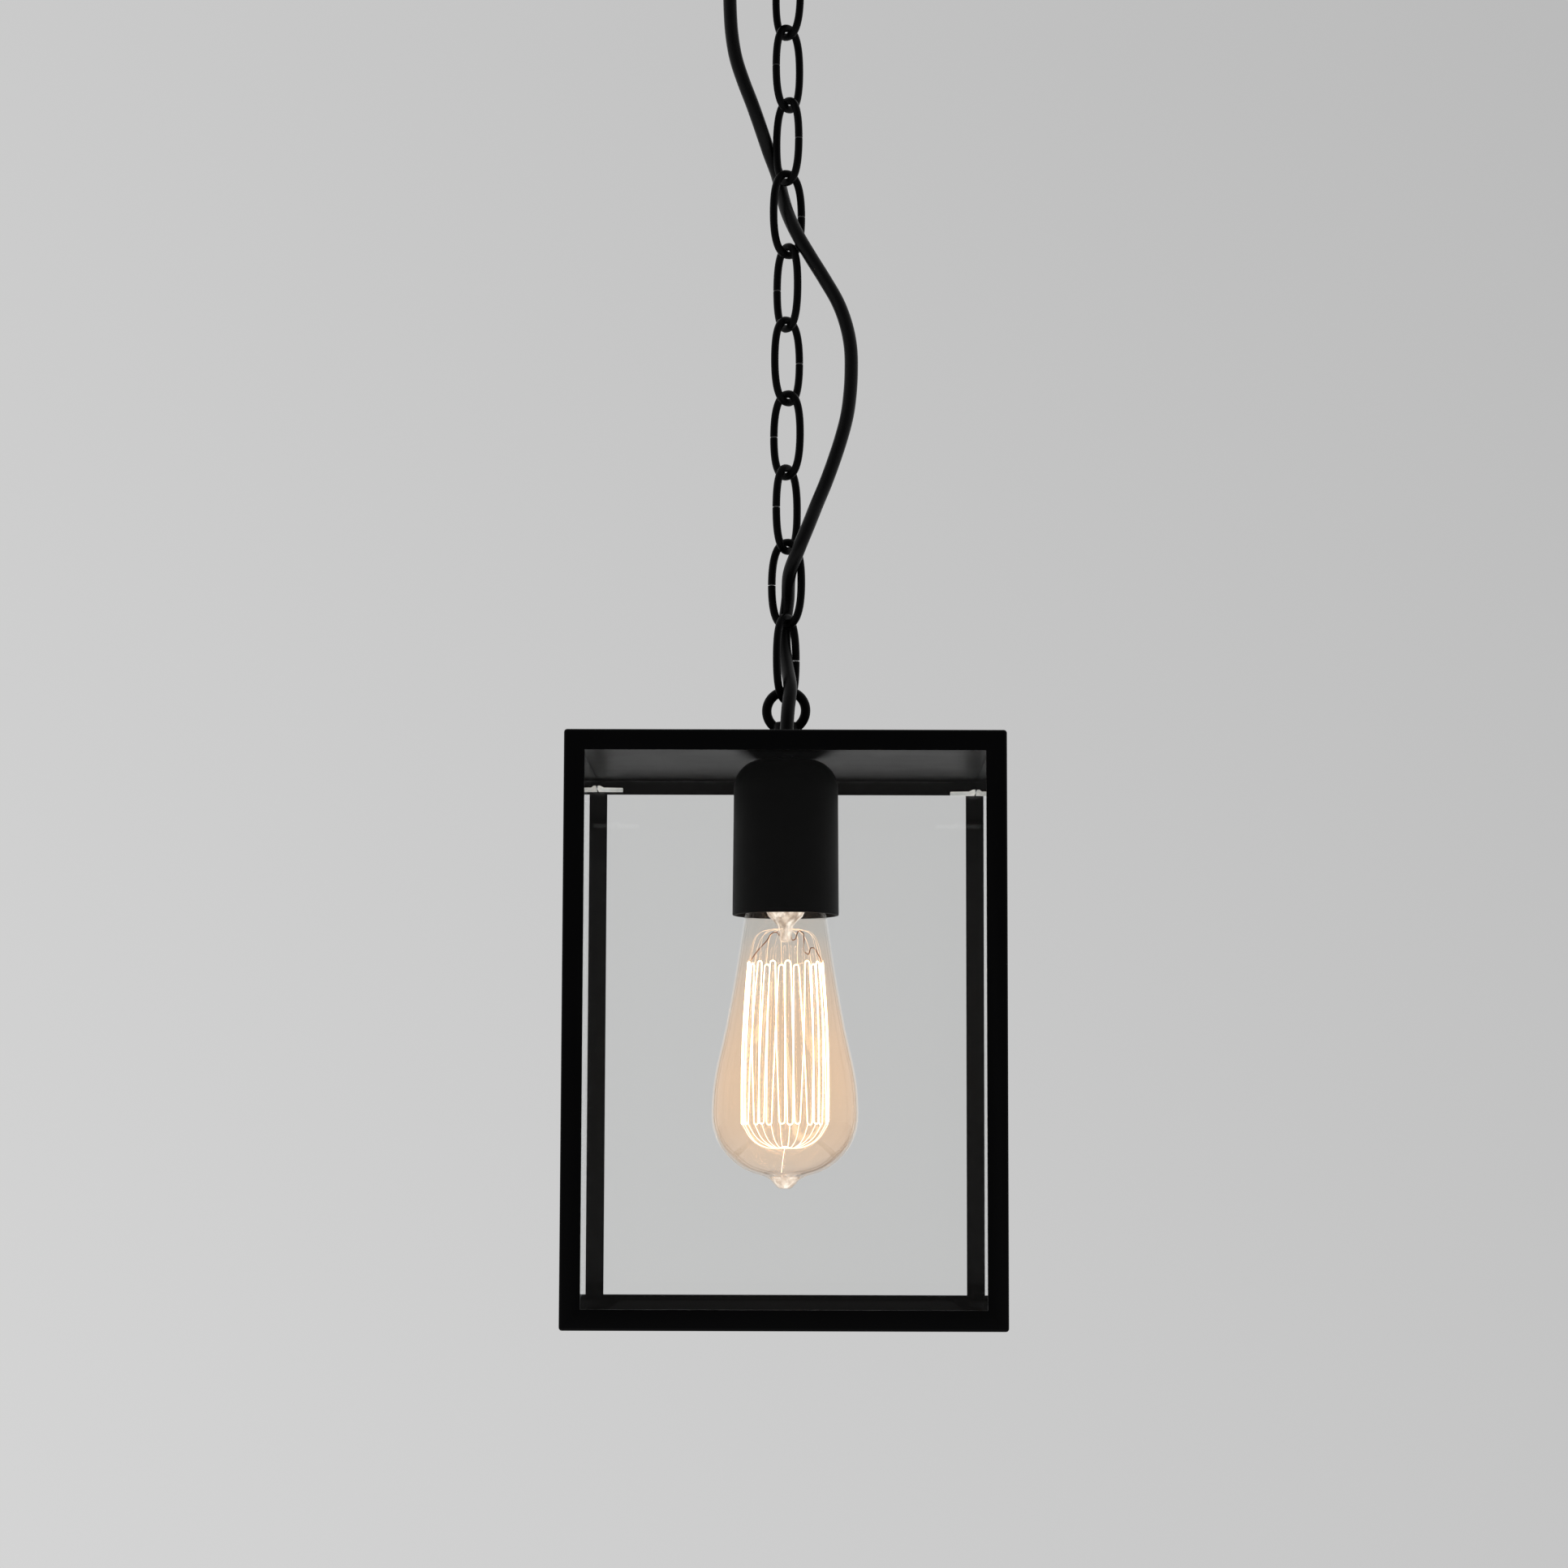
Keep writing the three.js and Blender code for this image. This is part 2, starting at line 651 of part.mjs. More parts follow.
// Mains cable: from the canopy's grip, woven down through the chain, to the lantern's grip
const CABLE_ROUTE = [
  [CABLE_TOP_X, 0, 623.5], [-25.7, 0, 606], [-25.7, 0, 590], [-25.7, 0, 580], [-25.4, 0, 570],
  [-24.6, 0.3, 560], [-22.8, 1, 550], [-19.5, 1.9, 540], [-15.6, 2.9, 530], [-11.9, 5.4, 520],
  [-8.2, 9.4, 510], [-4.5, 9.8, 500], [-2.4, 5.7, 490], [0.1, -0.1, 480], [4.2, -4.2, 470],
  [9.9, -4.8, 460], [16.2, -3.8, 450], [22, -2.8, 440], [25.7, -2.3, 430], [27.6, -2, 420],
  [27.9, -2, 410], [27.4, -2.2, 400], [26.1, -2.6, 390], [23.6, -2.9, 380], [20.4, -2.6, 370],
  [16.8, -2.9, 360], [12.9, -5.4, 350], [9.2, -8.8, 340], [5.2, -9.5, 330], [1.3, -4.7, 320],
  [0.6, 3.7, 310], [-0.7, 7.5, 300], [-1, 6.5, 290], [0.3, 1.1, 280], [1.7, -6.7, 270],
  [0.8, -10.4, 260], [0.2, CABLE_ENTRY_Y, 250], [0, CABLE_ENTRY_Y, 243], [0, CABLE_ENTRY_Y, 234],
];

addPiece(ceilingFitting, 'mains_cable', tube(CABLE_ROUTE, CABLE_RADIUS, CABLE_SIDES, 66), rubber);

export default hangingLantern;
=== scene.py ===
"""The looks of the hanging lantern: frame, panes, lamp, chain, mains cable and ceiling fitting.

Everything is in metres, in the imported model's own frame: +Z up, with the ceiling at height 0.
"""

import json
import logging
import math
from collections.abc import Callable, Sequence
from dataclasses import dataclass
from enum import Enum

import bpy
from mathutils import Matrix, Vector

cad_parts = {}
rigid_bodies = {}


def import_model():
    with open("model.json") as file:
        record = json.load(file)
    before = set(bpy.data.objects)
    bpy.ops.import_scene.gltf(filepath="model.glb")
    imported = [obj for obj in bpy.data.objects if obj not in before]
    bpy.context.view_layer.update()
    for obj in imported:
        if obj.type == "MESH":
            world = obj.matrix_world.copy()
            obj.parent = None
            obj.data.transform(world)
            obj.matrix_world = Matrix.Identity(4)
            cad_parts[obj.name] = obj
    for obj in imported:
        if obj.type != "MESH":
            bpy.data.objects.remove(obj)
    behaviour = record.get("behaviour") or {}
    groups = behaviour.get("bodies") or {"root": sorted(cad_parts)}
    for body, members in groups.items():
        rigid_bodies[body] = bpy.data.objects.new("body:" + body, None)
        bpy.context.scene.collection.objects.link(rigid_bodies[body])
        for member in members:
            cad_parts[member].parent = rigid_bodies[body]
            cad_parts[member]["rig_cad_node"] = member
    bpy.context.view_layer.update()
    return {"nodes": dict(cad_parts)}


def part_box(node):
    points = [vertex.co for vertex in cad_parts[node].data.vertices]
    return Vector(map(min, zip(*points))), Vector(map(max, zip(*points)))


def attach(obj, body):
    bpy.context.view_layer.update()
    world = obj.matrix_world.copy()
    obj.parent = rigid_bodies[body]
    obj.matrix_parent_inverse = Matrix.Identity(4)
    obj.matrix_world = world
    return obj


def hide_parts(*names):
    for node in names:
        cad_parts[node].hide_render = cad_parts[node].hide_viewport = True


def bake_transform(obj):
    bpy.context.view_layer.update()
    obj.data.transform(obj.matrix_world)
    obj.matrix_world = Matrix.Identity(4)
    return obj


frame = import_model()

log = logging.getLogger("hanging_lantern")

MM = 0.001
FULL_TURN = 2 * math.pi
Point = tuple[float, float, float]
Outline = Sequence[tuple[float, float]]
Colour = tuple[float, float, float]


class Body(str, Enum):
    """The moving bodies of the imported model, apart from the chain's links."""

    CEILING = "ceiling_fitting"
    LANTERN = "lantern"
    LAMP = "lamp"


class Slot(str, Enum):
    """The record's material slots."""

    POWDER_COAT = "black_powder_coat"
    HOLDER_PLASTIC = "black_holder_plastic"
    CABLE = "cable_rubber"
    PANE = "window_glass"
    LAMP_GLASS = "lamp_glass"
    STEM_GLASS = "stem_glass"
    CLIP = "corner_clip_plastic"
    BRASS = "brass"
    ZINC = "zinc_plate"
    PORCELAIN = "porcelain"
    CAP_GLASS = "cap_insulator_glass"
    SOLDER = "solder"
    FILAMENT = "filament_wire"
    SUPPORT = "support_wire"
    NYLON = "terminal_nylon"


# ---------------------------------------------------------------------------------------------------------
# Shader maths
# ---------------------------------------------------------------------------------------------------------


class Value:
    """A number on a shader socket. Python's operators on it add Math nodes."""

    def __init__(self, tree: "ShaderTree", socket: bpy.types.NodeSocket) -> None:
        """Keeps the tree that new nodes go into, and the socket that carries the number."""
        self.tree = tree
        self.socket = socket

    def _math(self, operation: str, first: object, second: object) -> "Value":
        """Adds one Math node.

        Args:
            operation: the Math node's operation.
            first: its first value, a number or a Value.
            second: its second value, a number or a Value.

        Returns:
            The node's result.
        """
        return self.tree.node("ShaderNodeMath", {"operation": operation}, {0: first, 1: second})

    def __add__(self, other: object) -> "Value":
        """self + other."""
        return self._math("ADD", self, other)

    def __radd__(self, other: object) -> "Value":
        """other + self."""
        return self._math("ADD", other, self)

    def __sub__(self, other: object) -> "Value":
        """self - other."""
        return self._math("SUBTRACT", self, other)

    def __rsub__(self, other: object) -> "Value":
        """other - self."""
        return self._math("SUBTRACT", other, self)

    def __mul__(self, other: object) -> "Value":
        """self * other."""
        return self._math("MULTIPLY", self, other)

    def __rmul__(self, other: object) -> "Value":
        """other * self."""
        return self._math("MULTIPLY", other, self)

    def __truediv__(self, other: object) -> "Value":
        """self / other."""
        return self._math("DIVIDE", self, other)

    def __pow__(self, other: object) -> "Value":
        """self ** other."""
        return self._math("POWER", self, other)

    def at_least(self, other: object) -> "Value":
        """The larger of self and other."""
        return self._math("MAXIMUM", self, other)

    def at_most(self, other: object) -> "Value":
        """The smaller of self and other."""
        return self._math("MINIMUM", self, other)


class ShaderTree:
    """One material's nodes."""

    def __init__(self, name: str) -> None:
        """Starts an empty material of that name."""
        self.material = bpy.data.materials.new(name)
        self.material.use_nodes = True
        self.tree = self.material.node_tree
        self.tree.nodes.clear()
        self.place = self.node("ShaderNodeTexCoord", output="Object")

    def node(
        self,
        kind: str,
        settings: dict[str, object] | None = None,
        inputs: dict[object, object] | None = None,
        output: object = 0,
    ) -> Value:
        """Adds one node.

        Args:
            kind: the node's type.
            settings: its properties, and a ramp's "stops" as (position, colour) pairs.
            inputs: socket name or number to a number, colour, Value or shader.
            output: name or number of the output wanted.

        Returns:
            That output, as a Value.
        """
        made = self.tree.nodes.new(kind)
        for key, value in (settings or {}).items():
            if key == "stops":
                for i, (position, colour) in enumerate(value):
                    ramp = made.color_ramp.elements
                    stop = ramp[i] if i < len(ramp) else ramp.new(position)
                    stop.position = position
                    stop.color = (*colour, 1)
            else:
                setattr(made, key, value)
        for key, value in (inputs or {}).items():
            if isinstance(value, Value):
                self.tree.links.new(value.socket, made.inputs[key])
            else:
                made.inputs[key].default_value = value
        return Value(self, made.outputs[output])

    def noise(self, scale: float, detail: float = 3.0, roughness: float = 0.5) -> Value:
        """Cloudy noise on Object coordinates.

        Args:
            scale: patches per metre.
            detail: octaves.
            roughness: how strong the fine octaves are.

        Returns:
            A number about 0.5.
        """
        inputs = {"Vector": self.place, "Scale": scale, "Detail": detail, "Roughness": roughness}
        return self.node("ShaderNodeTexNoise", {}, inputs)

    def grain(self, scale: float, stretch: Point) -> Value:
        """Noise drawn out along an axis, as brushing leaves.

        Args:
            scale: patches per metre.
            stretch: how much the coordinates are multiplied along each axis.

        Returns:
            A number about 0.5.
        """
        drawn = self.node("ShaderNodeVectorMath", {"operation": "MULTIPLY"}, {0: self.place, 1: stretch})
        return self.node("ShaderNodeTexNoise", {}, {"Vector": drawn, "Scale": scale, "Detail": 2.0})

    def height(self) -> Value:
        """The point's height in the row frame, in metres."""
        return self.node("ShaderNodeSeparateXYZ", {}, {0: self.place}, output=2)

    def between(self, share: Value, low: Colour, high: Colour) -> Value:
        """Mixes two colours.

        Args:
            share: 0 for low, 1 for high.
            low: a linear colour.
            high: a linear colour.

        Returns:
            The mixed colour.
        """
        return self.node(
            "ShaderNodeMix",
            {"data_type": "RGBA", "clamp_factor": True},
            {0: share, 6: (*low, 1), 7: (*high, 1)},
            output=2,
        )

    def bump(self, height: Value, depth: float, strength: float = 1.0) -> Value:
        """A Bump node.

        Args:
            height: the relief, as a number from 0 to 1.
            depth: the relief's depth in metres.
            strength: how much of it shows.

        Returns:
            The normal.
        """
        inputs = {"Height": height, "Distance": depth, "Strength": strength}
        return self.node("ShaderNodeBump", {}, inputs)

    def facing(self) -> Value:
        """0 where a surface is seen square on, 1 at its rim."""
        return self.node("ShaderNodeLayerWeight", {}, {"Blend": 0.5}, output="Facing")

    def glass_mirror(self) -> Value:
        """The share of light that a glass surface mirrors, by Schlick's rule."""
        face_on = 0.025
        return face_on + (1 - face_on) * self.facing() ** 5

    def end(self, shader: Value) -> bpy.types.Material:
        """Joins the shader to the material's surface.

        Args:
            shader: the last shader.

        Returns:
            The material.
        """
        self.node_out = self.tree.nodes.new("ShaderNodeOutputMaterial")
        self.tree.links.new(shader.socket, self.node_out.inputs["Surface"])
        return self.material


# ---------------------------------------------------------------------------------------------------------
# Finishes
# ---------------------------------------------------------------------------------------------------------


@dataclass(frozen=True)
class Finish:
    """A finish, with the slot that it stands for."""

    slot: Slot
    colour: Colour

    def material(self) -> bpy.types.Material:
        """This finish's material, made on first use."""
        found = bpy.data.materials.get(self.name())
        return found or self.build(ShaderTree(self.name()))

    def name(self) -> str:
        """The material's name."""
        return f"{type(self).__name__}_{self.slot.value}"

    def build(self, tree: ShaderTree) -> bpy.types.Material:
        """Makes the material's nodes."""
        raise NotImplementedError

    def on(self, *pieces: bpy.types.Object) -> None:
        """Gives pieces this finish.

        Args:
            pieces: new pieces, or CAD nodes.
        """
        for piece in pieces:
            piece.data.materials.clear()
            piece.data.materials.append(self.material())
            "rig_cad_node" not in piece


@dataclass(frozen=True)
class PowderCoat(Finish):
    """Satin near-black powder coat with a fine orange-peel skin."""

    peel_scale: float = 1800.0
    peel_depth: float = 0.000012

    def build(self, tree: ShaderTree) -> bpy.types.Material:
        """Makes the nodes: a slight cloud in colour and gloss, and the coat's skin as bump."""
        cloud = tree.noise(30.0)
        skin = tree.noise(self.peel_scale, 2.0)
        lighter = tuple(1.5 * c for c in self.colour)
        shader = tree.node(
            "ShaderNodeBsdfPrincipled",
            {},
            {
                "Base Color": tree.between(cloud, self.colour, lighter),
                "Roughness": 0.3 + 0.12 * cloud + 0.05 * skin,
                "Normal": tree.bump(skin, self.peel_depth),
                "Specular IOR Level": 0.09,
            },
        )
        return tree.end(shader)


@dataclass(frozen=True)
class MouldedPlastic(Finish):
    """Moulded plastic with a spark-eroded grain."""

    roughness: float = 0.5
    sheen: float = 0.5
    grain_scale: float = 2600.0
    grain_depth: float = 0.000006

    def name(self) -> str:
        """The material's name."""
        return f"MouldedPlastic_{self.slot.value}"

    def build(self, tree: ShaderTree) -> bpy.types.Material:
        """Makes the nodes: faint flow marks in colour and gloss, and the grain as bump."""
        flow = tree.noise(22.0, 2.0)
        grain = tree.noise(self.grain_scale, 1.0)
        deeper = tuple(0.75 * c for c in self.colour)
        shader = tree.node(
            "ShaderNodeBsdfPrincipled",
            {},
            {
                "Base Color": tree.between(flow, deeper, self.colour),
                "Roughness": (self.roughness - 0.06) + 0.12 * flow,
                "Normal": tree.bump(grain, self.grain_depth),
                "Specular IOR Level": self.sheen,
            },
        )
        return tree.end(shader)


@dataclass(frozen=True)
class CableSheath(Finish):
    """Smooth black sheath that shows the cores' lay as a very slight waviness."""

    def build(self, tree: ShaderTree) -> bpy.types.Material:
        """Makes the nodes: handling marks in gloss, and the waviness as bump."""
        handling = tree.noise(160.0, 3.0)
        lay = tree.noise(90.0, 1.0)
        shader = tree.node(
            "ShaderNodeBsdfPrincipled",
            {},
            {
                "Base Color": tree.between(handling, self.colour, tuple(1.8 * c for c in self.colour)),
                "Roughness": 0.3 + 0.16 * handling,
                "Normal": tree.bump(lay, 0.0001, 0.6),
                "Specular IOR Level": 0.25,
            },
        )
        return tree.end(shader)


@dataclass(frozen=True)
class ClearGlass(Finish):
    """Thin clear glass: what is behind it shows straight through, under a mirror-like skin."""

    rim_colour: Colour = (0.86, 0.92, 0.9)
    smear: float = 0.02

    def build(self, tree: ShaderTree) -> bpy.types.Material:
        """Makes the nodes: a see-through share that deepens at the rim, and the mirrored share."""
        smears = tree.noise(35.0, 2.0)
        tint = tree.between(tree.facing() ** 4, self.colour, self.rim_colour)
        through = tree.node("ShaderNodeBsdfTransparent", {}, {"Color": tint})
        mirror = tree.node(
            "ShaderNodeBsdfGlossy",
            {"distribution": "GGX"},
            {"Color": (1, 1, 1, 1), "Roughness": self.smear * smears},
        )
        shader = tree.node("ShaderNodeMixShader", {}, {0: tree.glass_mirror(), 1: through, 2: mirror})
        return tree.end(shader)


@dataclass(frozen=True)
class LitGlass(Finish):
    """Amber-tinted lamp glass, washed with the filament's light, most strongly beside the cage."""

    neck_colour: Colour = (0.99, 0.975, 0.955)
    wash_colour: Colour = (1.0, 0.45, 0.2)
    wash: float = 0.08
    wash_height: float = -0.535
    wash_reach: float = 0.06

    def build(self, tree: ShaderTree) -> bpy.types.Material:
        """Makes the nodes: tint, light wash by height, and the mirrored share."""
        cloud = tree.noise(45.0, 2.0)
        off_centre = (tree.height() - self.wash_height) / self.wash_reach
        near = (1 - off_centre * off_centre).at_least(0.0)
        tint = tree.between(near, self.neck_colour, self.colour)
        through = tree.node("ShaderNodeBsdfTransparent", {}, {"Color": tint})
        lit = tree.between(near * (0.7 + 0.6 * cloud), (0, 0, 0), self.wash_colour)
        glow = tree.node("ShaderNodeEmission", {}, {"Color": lit, "Strength": self.wash})
        washed = tree.node("ShaderNodeAddShader", {}, {0: through, 1: glow})
        mirror = tree.node("ShaderNodeBsdfGlossy", {}, {"Color": (1, 1, 1, 1), "Roughness": 0.03 * cloud})
        shader = tree.node("ShaderNodeMixShader", {}, {0: tree.glass_mirror(), 1: washed, 2: mirror})
        return tree.end(shader)


@dataclass(frozen=True)
class FrostyPlastic(Finish):
    """Pale translucent moulding, with a painted glow in its own colour that stands for light from behind
    shining through it.
    """

    see_through: float = 0.35
    light_within: float = 0.35

    def build(self, tree: ShaderTree) -> bpy.types.Material:
        """Makes the nodes: a cloudy pale body, part of it see-through, and a painted glow for the light that
        shines through from behind.
        """
        cloud = tree.noise(400.0, 2.0)
        body = tree.node(
            "ShaderNodeBsdfPrincipled",
            {},
            {
                "Base Color": tree.between(cloud, self.colour, (0.9, 0.92, 0.92)),
                "Roughness": 0.25 + 0.2 * cloud,
                "Normal": tree.bump(cloud, 0.00005),
                # Painted light: this emission stands for light from behind shining through the clip, which is
                # no lamp.
                "Emission Color": (*self.colour, 1),
                "Emission Strength": self.light_within,
            },
        )
        through = tree.node("ShaderNodeBsdfTransparent", {}, {"Color": (0.95, 0.97, 0.97, 1)})
        share = 1 - self.see_through * (0.6 + 0.8 * cloud)
        return tree.end(tree.node("ShaderNodeMixShader", {}, {0: share, 1: through, 2: body}))


@dataclass(frozen=True)
class Metal(Finish):
    """Bare or plated metal with drawn grain and dull patches."""

    roughness: float = 0.3
    stretch: Point = (1.0, 1.0, 12.0)

    def name(self) -> str:
        """The material's name."""
        return f"Metal_{self.slot.value}"

    def build(self, tree: ShaderTree) -> bpy.types.Material:
        """Makes the nodes: grain in gloss and relief, and slightly duller patches."""
        patches = tree.noise(120.0, 3.0)
        grain = tree.grain(500.0, self.stretch)
        duller = tuple(0.72 * c for c in self.colour)
        shader = tree.node(
            "ShaderNodeBsdfPrincipled",
            {},
            {
                "Base Color": tree.between(patches, duller, self.colour),
                "Roughness": (self.roughness - 0.08) + 0.1 * grain + 0.1 * patches,
                "Metallic": 1.0,
                "Normal": tree.bump(grain, 0.00002),
            },
        )
        return tree.end(shader)


@dataclass(frozen=True)
class Glaze(Finish):
    """Glazed or vitrified surface with fine specks."""

    def name(self) -> str:
        """The material's name."""
        return f"Glaze_{self.slot.value}"

    def build(self, tree: ShaderTree) -> bpy.types.Material:
        """Makes the nodes: specks in colour and a slight ripple."""
        specks = tree.noise(900.0, 4.0, 0.7)
        ripple = tree.noise(60.0, 1.0)
        darker = tuple(0.8 * c for c in self.colour)
        shader = tree.node(
            "ShaderNodeBsdfPrincipled",
            {},
            {
                "Base Color": tree.between(specks, darker, self.colour),
                "Roughness": 0.12 + 0.1 * ripple,
                "Normal": tree.bump(ripple, 0.0002, 0.5),
            },
        )
        return tree.end(shader)


@dataclass(frozen=True)
class GlowingWire(Finish):
    """Wire that shines, a little unevenly along its length: the filament by its own light, and the support
    wires with a painted glow that stands for the filament's light falling on them.
    """

    strength: float = 9.0
    cooler: Colour = (1.0, 0.55, 0.25)

    def name(self) -> str:
        """The material's name."""
        return f"GlowingWire_{self.slot.value}_{self.strength:g}"

    def build(self, tree: ShaderTree) -> bpy.types.Material:
        """Makes the nodes: an emission colour that wanders between a dimmer and a brighter tone."""
        glow_wander = tree.noise(180.0, 1.0)
        light = tree.between(glow_wander, self.cooler, self.colour)
        shader = tree.node(
            "ShaderNodeBsdfPrincipled",
            {},
            {
                "Base Color": (0.5, 0.42, 0.34, 1),
                "Roughness": 0.4,
                "Emission Color": light,
                "Emission Strength": self.strength,
            },
        )
        return tree.end(shader)


@dataclass(frozen=True)
class LitStem(Finish):
    """Pressed clear glass close above the filament, full of its light."""

    def build(self, tree: ShaderTree) -> bpy.types.Material:
        """Makes the nodes: streaks of light in see-through glass."""
        streaks = tree.grain(380.0, (1.0, 1.0, 0.25))
        bright = ((streaks - 0.42) * 4.0).at_least(0.0).at_most(1.0)
        glow = tree.node(
            "ShaderNodeEmission",
            {},
            {"Color": tree.between(bright, (0.7, 0.56, 0.46), (1.0, 0.93, 0.84)), "Strength": 1.25},
        )
        through = tree.node("ShaderNodeBsdfTransparent", {}, {"Color": (*self.colour, 1)})
        inner = tree.node("ShaderNodeMixShader", {}, {0: 0.3 + 0.6 * bright, 1: through, 2: glow})
        mirror = tree.node("ShaderNodeBsdfGlossy", {}, {"Color": (1, 1, 1, 1), "Roughness": 0.1 * streaks})
        return tree.end(tree.node("ShaderNodeMixShader", {}, {0: tree.glass_mirror(), 1: inner, 2: mirror}))


@dataclass(frozen=True)
class StudioPaint:
    """Pale matt paint of the room round the lantern. It isn't part of the object."""

    colour: Colour = (0.9, 0.9, 0.9)

    def material(self) -> bpy.types.Material:
        """Makes the paint, with a trace of roller texture."""
        tree = ShaderTree("StudioPaint")
        roller = tree.noise(6.0, 2.0)
        shader = tree.node(
            "ShaderNodeBsdfPrincipled",
            {},
            {
                "Base Color": tree.between(roller, tuple(0.98 * c for c in self.colour), self.colour),
                "Roughness": 0.85,
                "Specular IOR Level": 0.1,
            },
        )
        return tree.end(shader)


POWDER_COAT = PowderCoat(Slot.POWDER_COAT, (0.0016, 0.0016, 0.0018))
HOLDER_PLASTIC = MouldedPlastic(Slot.HOLDER_PLASTIC, (0.002, 0.002, 0.0021), roughness=0.5, sheen=0.07)
TERMINAL_NYLON = MouldedPlastic(Slot.NYLON, (0.72, 0.69, 0.6), roughness=0.42)
SHEATH = CableSheath(Slot.CABLE, (0.0016, 0.0016, 0.0018))
PANE_GLASS = ClearGlass(Slot.PANE, (0.996, 0.998, 0.997))
LAMP_GLASS = LitGlass(Slot.LAMP_GLASS, (0.98, 0.955, 0.9))
STEM_GLASS = LitStem(Slot.STEM_GLASS, (0.96, 0.93, 0.88))
CLIP_PLASTIC = FrostyPlastic(Slot.CLIP, (0.84, 0.88, 0.88))
BRASS = Metal(Slot.BRASS, (0.78, 0.56, 0.27), roughness=0.28)
ZINC = Metal(Slot.ZINC, (0.66, 0.68, 0.7), roughness=0.34, stretch=(12.0, 1.0, 1.0))
SOLDER = Metal(Slot.SOLDER, (0.62, 0.63, 0.65), roughness=0.42)
PORCELAIN = Glaze(Slot.PORCELAIN, (0.86, 0.85, 0.8))
CAP_GLASS = Glaze(Slot.CAP_GLASS, (0.012, 0.011, 0.014))
HOT_WIRE = GlowingWire(Slot.FILAMENT, (1.0, 0.78, 0.5))
# Painted light: the support wires and lower hooks are no lamp; their emission stands for the filament's light
# falling on them.
SUPPORT_WIRE_PAINTED_GLOW = GlowingWire(Slot.SUPPORT, (1.0, 0.9, 0.8), strength=0.9, cooler=(0.35, 0.28, 0.22))
HOOK_WIRE_PAINTED_GLOW = GlowingWire(Slot.SUPPORT, (1.0, 0.86, 0.7), strength=2.6, cooler=(1.0, 0.72, 0.5))
COPPER = Metal(Slot.SUPPORT, (0.42, 0.22, 0.12), roughness=0.4, stretch=(1.0, 1.0, 1.0))


# ---------------------------------------------------------------------------------------------------------
# Workbench: the operators that every piece is made with
# ---------------------------------------------------------------------------------------------------------


def clear_hands() -> None:
    """Leaves edit mode and deselects everything."""
    if bpy.context.object is not None and bpy.context.object.mode != "OBJECT":
        bpy.ops.object.mode_set(mode="OBJECT")
    bpy.ops.object.select_all(action="DESELECT")


def hold(*pieces: bpy.types.Object) -> bpy.types.Object:
    """Selects only these pieces and makes the first active.

    Args:
        pieces: the pieces.

    Returns:
        The first piece.
    """
    clear_hands()
    for piece in pieces:
        piece.select_set(True)
    bpy.context.view_layer.objects.active = pieces[0]
    return pieces[0]


def label(name: str) -> bpy.types.Object:
    """Names the object that an operator has just made.

    Args:
        name: the piece's name.

    Returns:
        The object.
    """
    piece = bpy.context.object
    piece.name = name
    piece.data.name = name
    return piece


def settle(piece: bpy.types.Object) -> bpy.types.Object:
    """Moves a piece's place, turn and size into its mesh.

    Args:
        piece: the piece.

    Returns:
        The same piece.
    """
    hold(piece)
    bpy.ops.object.transform_apply(location=True, rotation=True, scale=True)
    return piece


def tidy_mesh(piece: bpy.types.Object, merge: float = 1e-6) -> bpy.types.Object:
    """Merges doubled corners and turns the faces outwards.

    Args:
        piece: the piece.
        merge: the distance within which corners merge, in metres.

    Returns:
        The same piece.
    """
    hold(piece)
    bpy.ops.object.mode_set(mode="EDIT")
    bpy.ops.mesh.select_all(action="SELECT")
    bpy.ops.mesh.remove_doubles(threshold=merge)
    bpy.ops.mesh.normals_make_consistent(inside=False)
    bpy.ops.object.mode_set(mode="OBJECT")
    return piece


def smooth(piece: bpy.types.Object, degrees: float = 32.0) -> bpy.types.Object:
    """Shades a piece smooth, apart from its sharp edges.

    Args:
        piece: the piece.
        degrees: edges sharper than this stay sharp.

    Returns:
        The same piece.
    """
    hold(piece)
    bpy.ops.object.shade_smooth_by_angle(angle=math.radians(degrees))
    return piece


def modify(piece: bpy.types.Object, kind: str, **settings: object) -> bpy.types.Object:
    """Adds a modifier and applies it.

    Args:
        piece: the piece.
        kind: the modifier's type.
        settings: its properties.

    Returns:
        The same piece.
    """
    modifier = piece.modifiers.new(kind, kind)
    for key, value in settings.items():
        setattr(modifier, key, value)
    hold(piece)
    bpy.ops.object.modifier_apply(modifier=modifier.name)
    return piece


def soften(piece: bpy.types.Object, width: float, segments: int = 2, angle: float = 40.0) -> bpy.types.Object:
    """Rounds a piece's sharp edges.

    Args:
        piece: the piece.
        width: the rounding's width in metres.
        segments: steps in the rounding.
        angle: the sharpest edge left alone, in degrees.

    Returns:
        The same piece.
    """
    return modify(
        piece,
        "BEVEL",
        width=width,
        segments=segments,
        limit_method="ANGLE",
        angle_limit=math.radians(angle),
        harden_normals=False,
    )


def combine(piece: bpy.types.Object, other: bpy.types.Object, operation: str) -> bpy.types.Object:
    """Joins or cuts one piece with another, which is used up.

    Args:
        piece: the piece that stays.
        other: the tool.
        operation: UNION or DIFFERENCE.

    Returns:
        The piece that stays.
    """
    modify(piece, "BOOLEAN", operation=operation, object=other, solver="EXACT")
    bpy.data.objects.remove(other)
    return piece


def pick_faces(piece: bpy.types.Object, wanted: Callable[[bpy.types.MeshPolygon], bool]) -> None:
    """Opens a piece in edit mode with some faces selected.

    Args:
        piece: the piece.
        wanted: says whether a face is selected.
    """
    hold(piece)
    bpy.ops.object.mode_set(mode="EDIT")
    bpy.ops.mesh.select_mode(type="FACE")
    bpy.ops.mesh.select_all(action="DESELECT")
    bpy.ops.object.mode_set(mode="OBJECT")
    for face in piece.data.polygons:
        face.select = wanted(face)
    bpy.ops.object.mode_set(mode="EDIT")


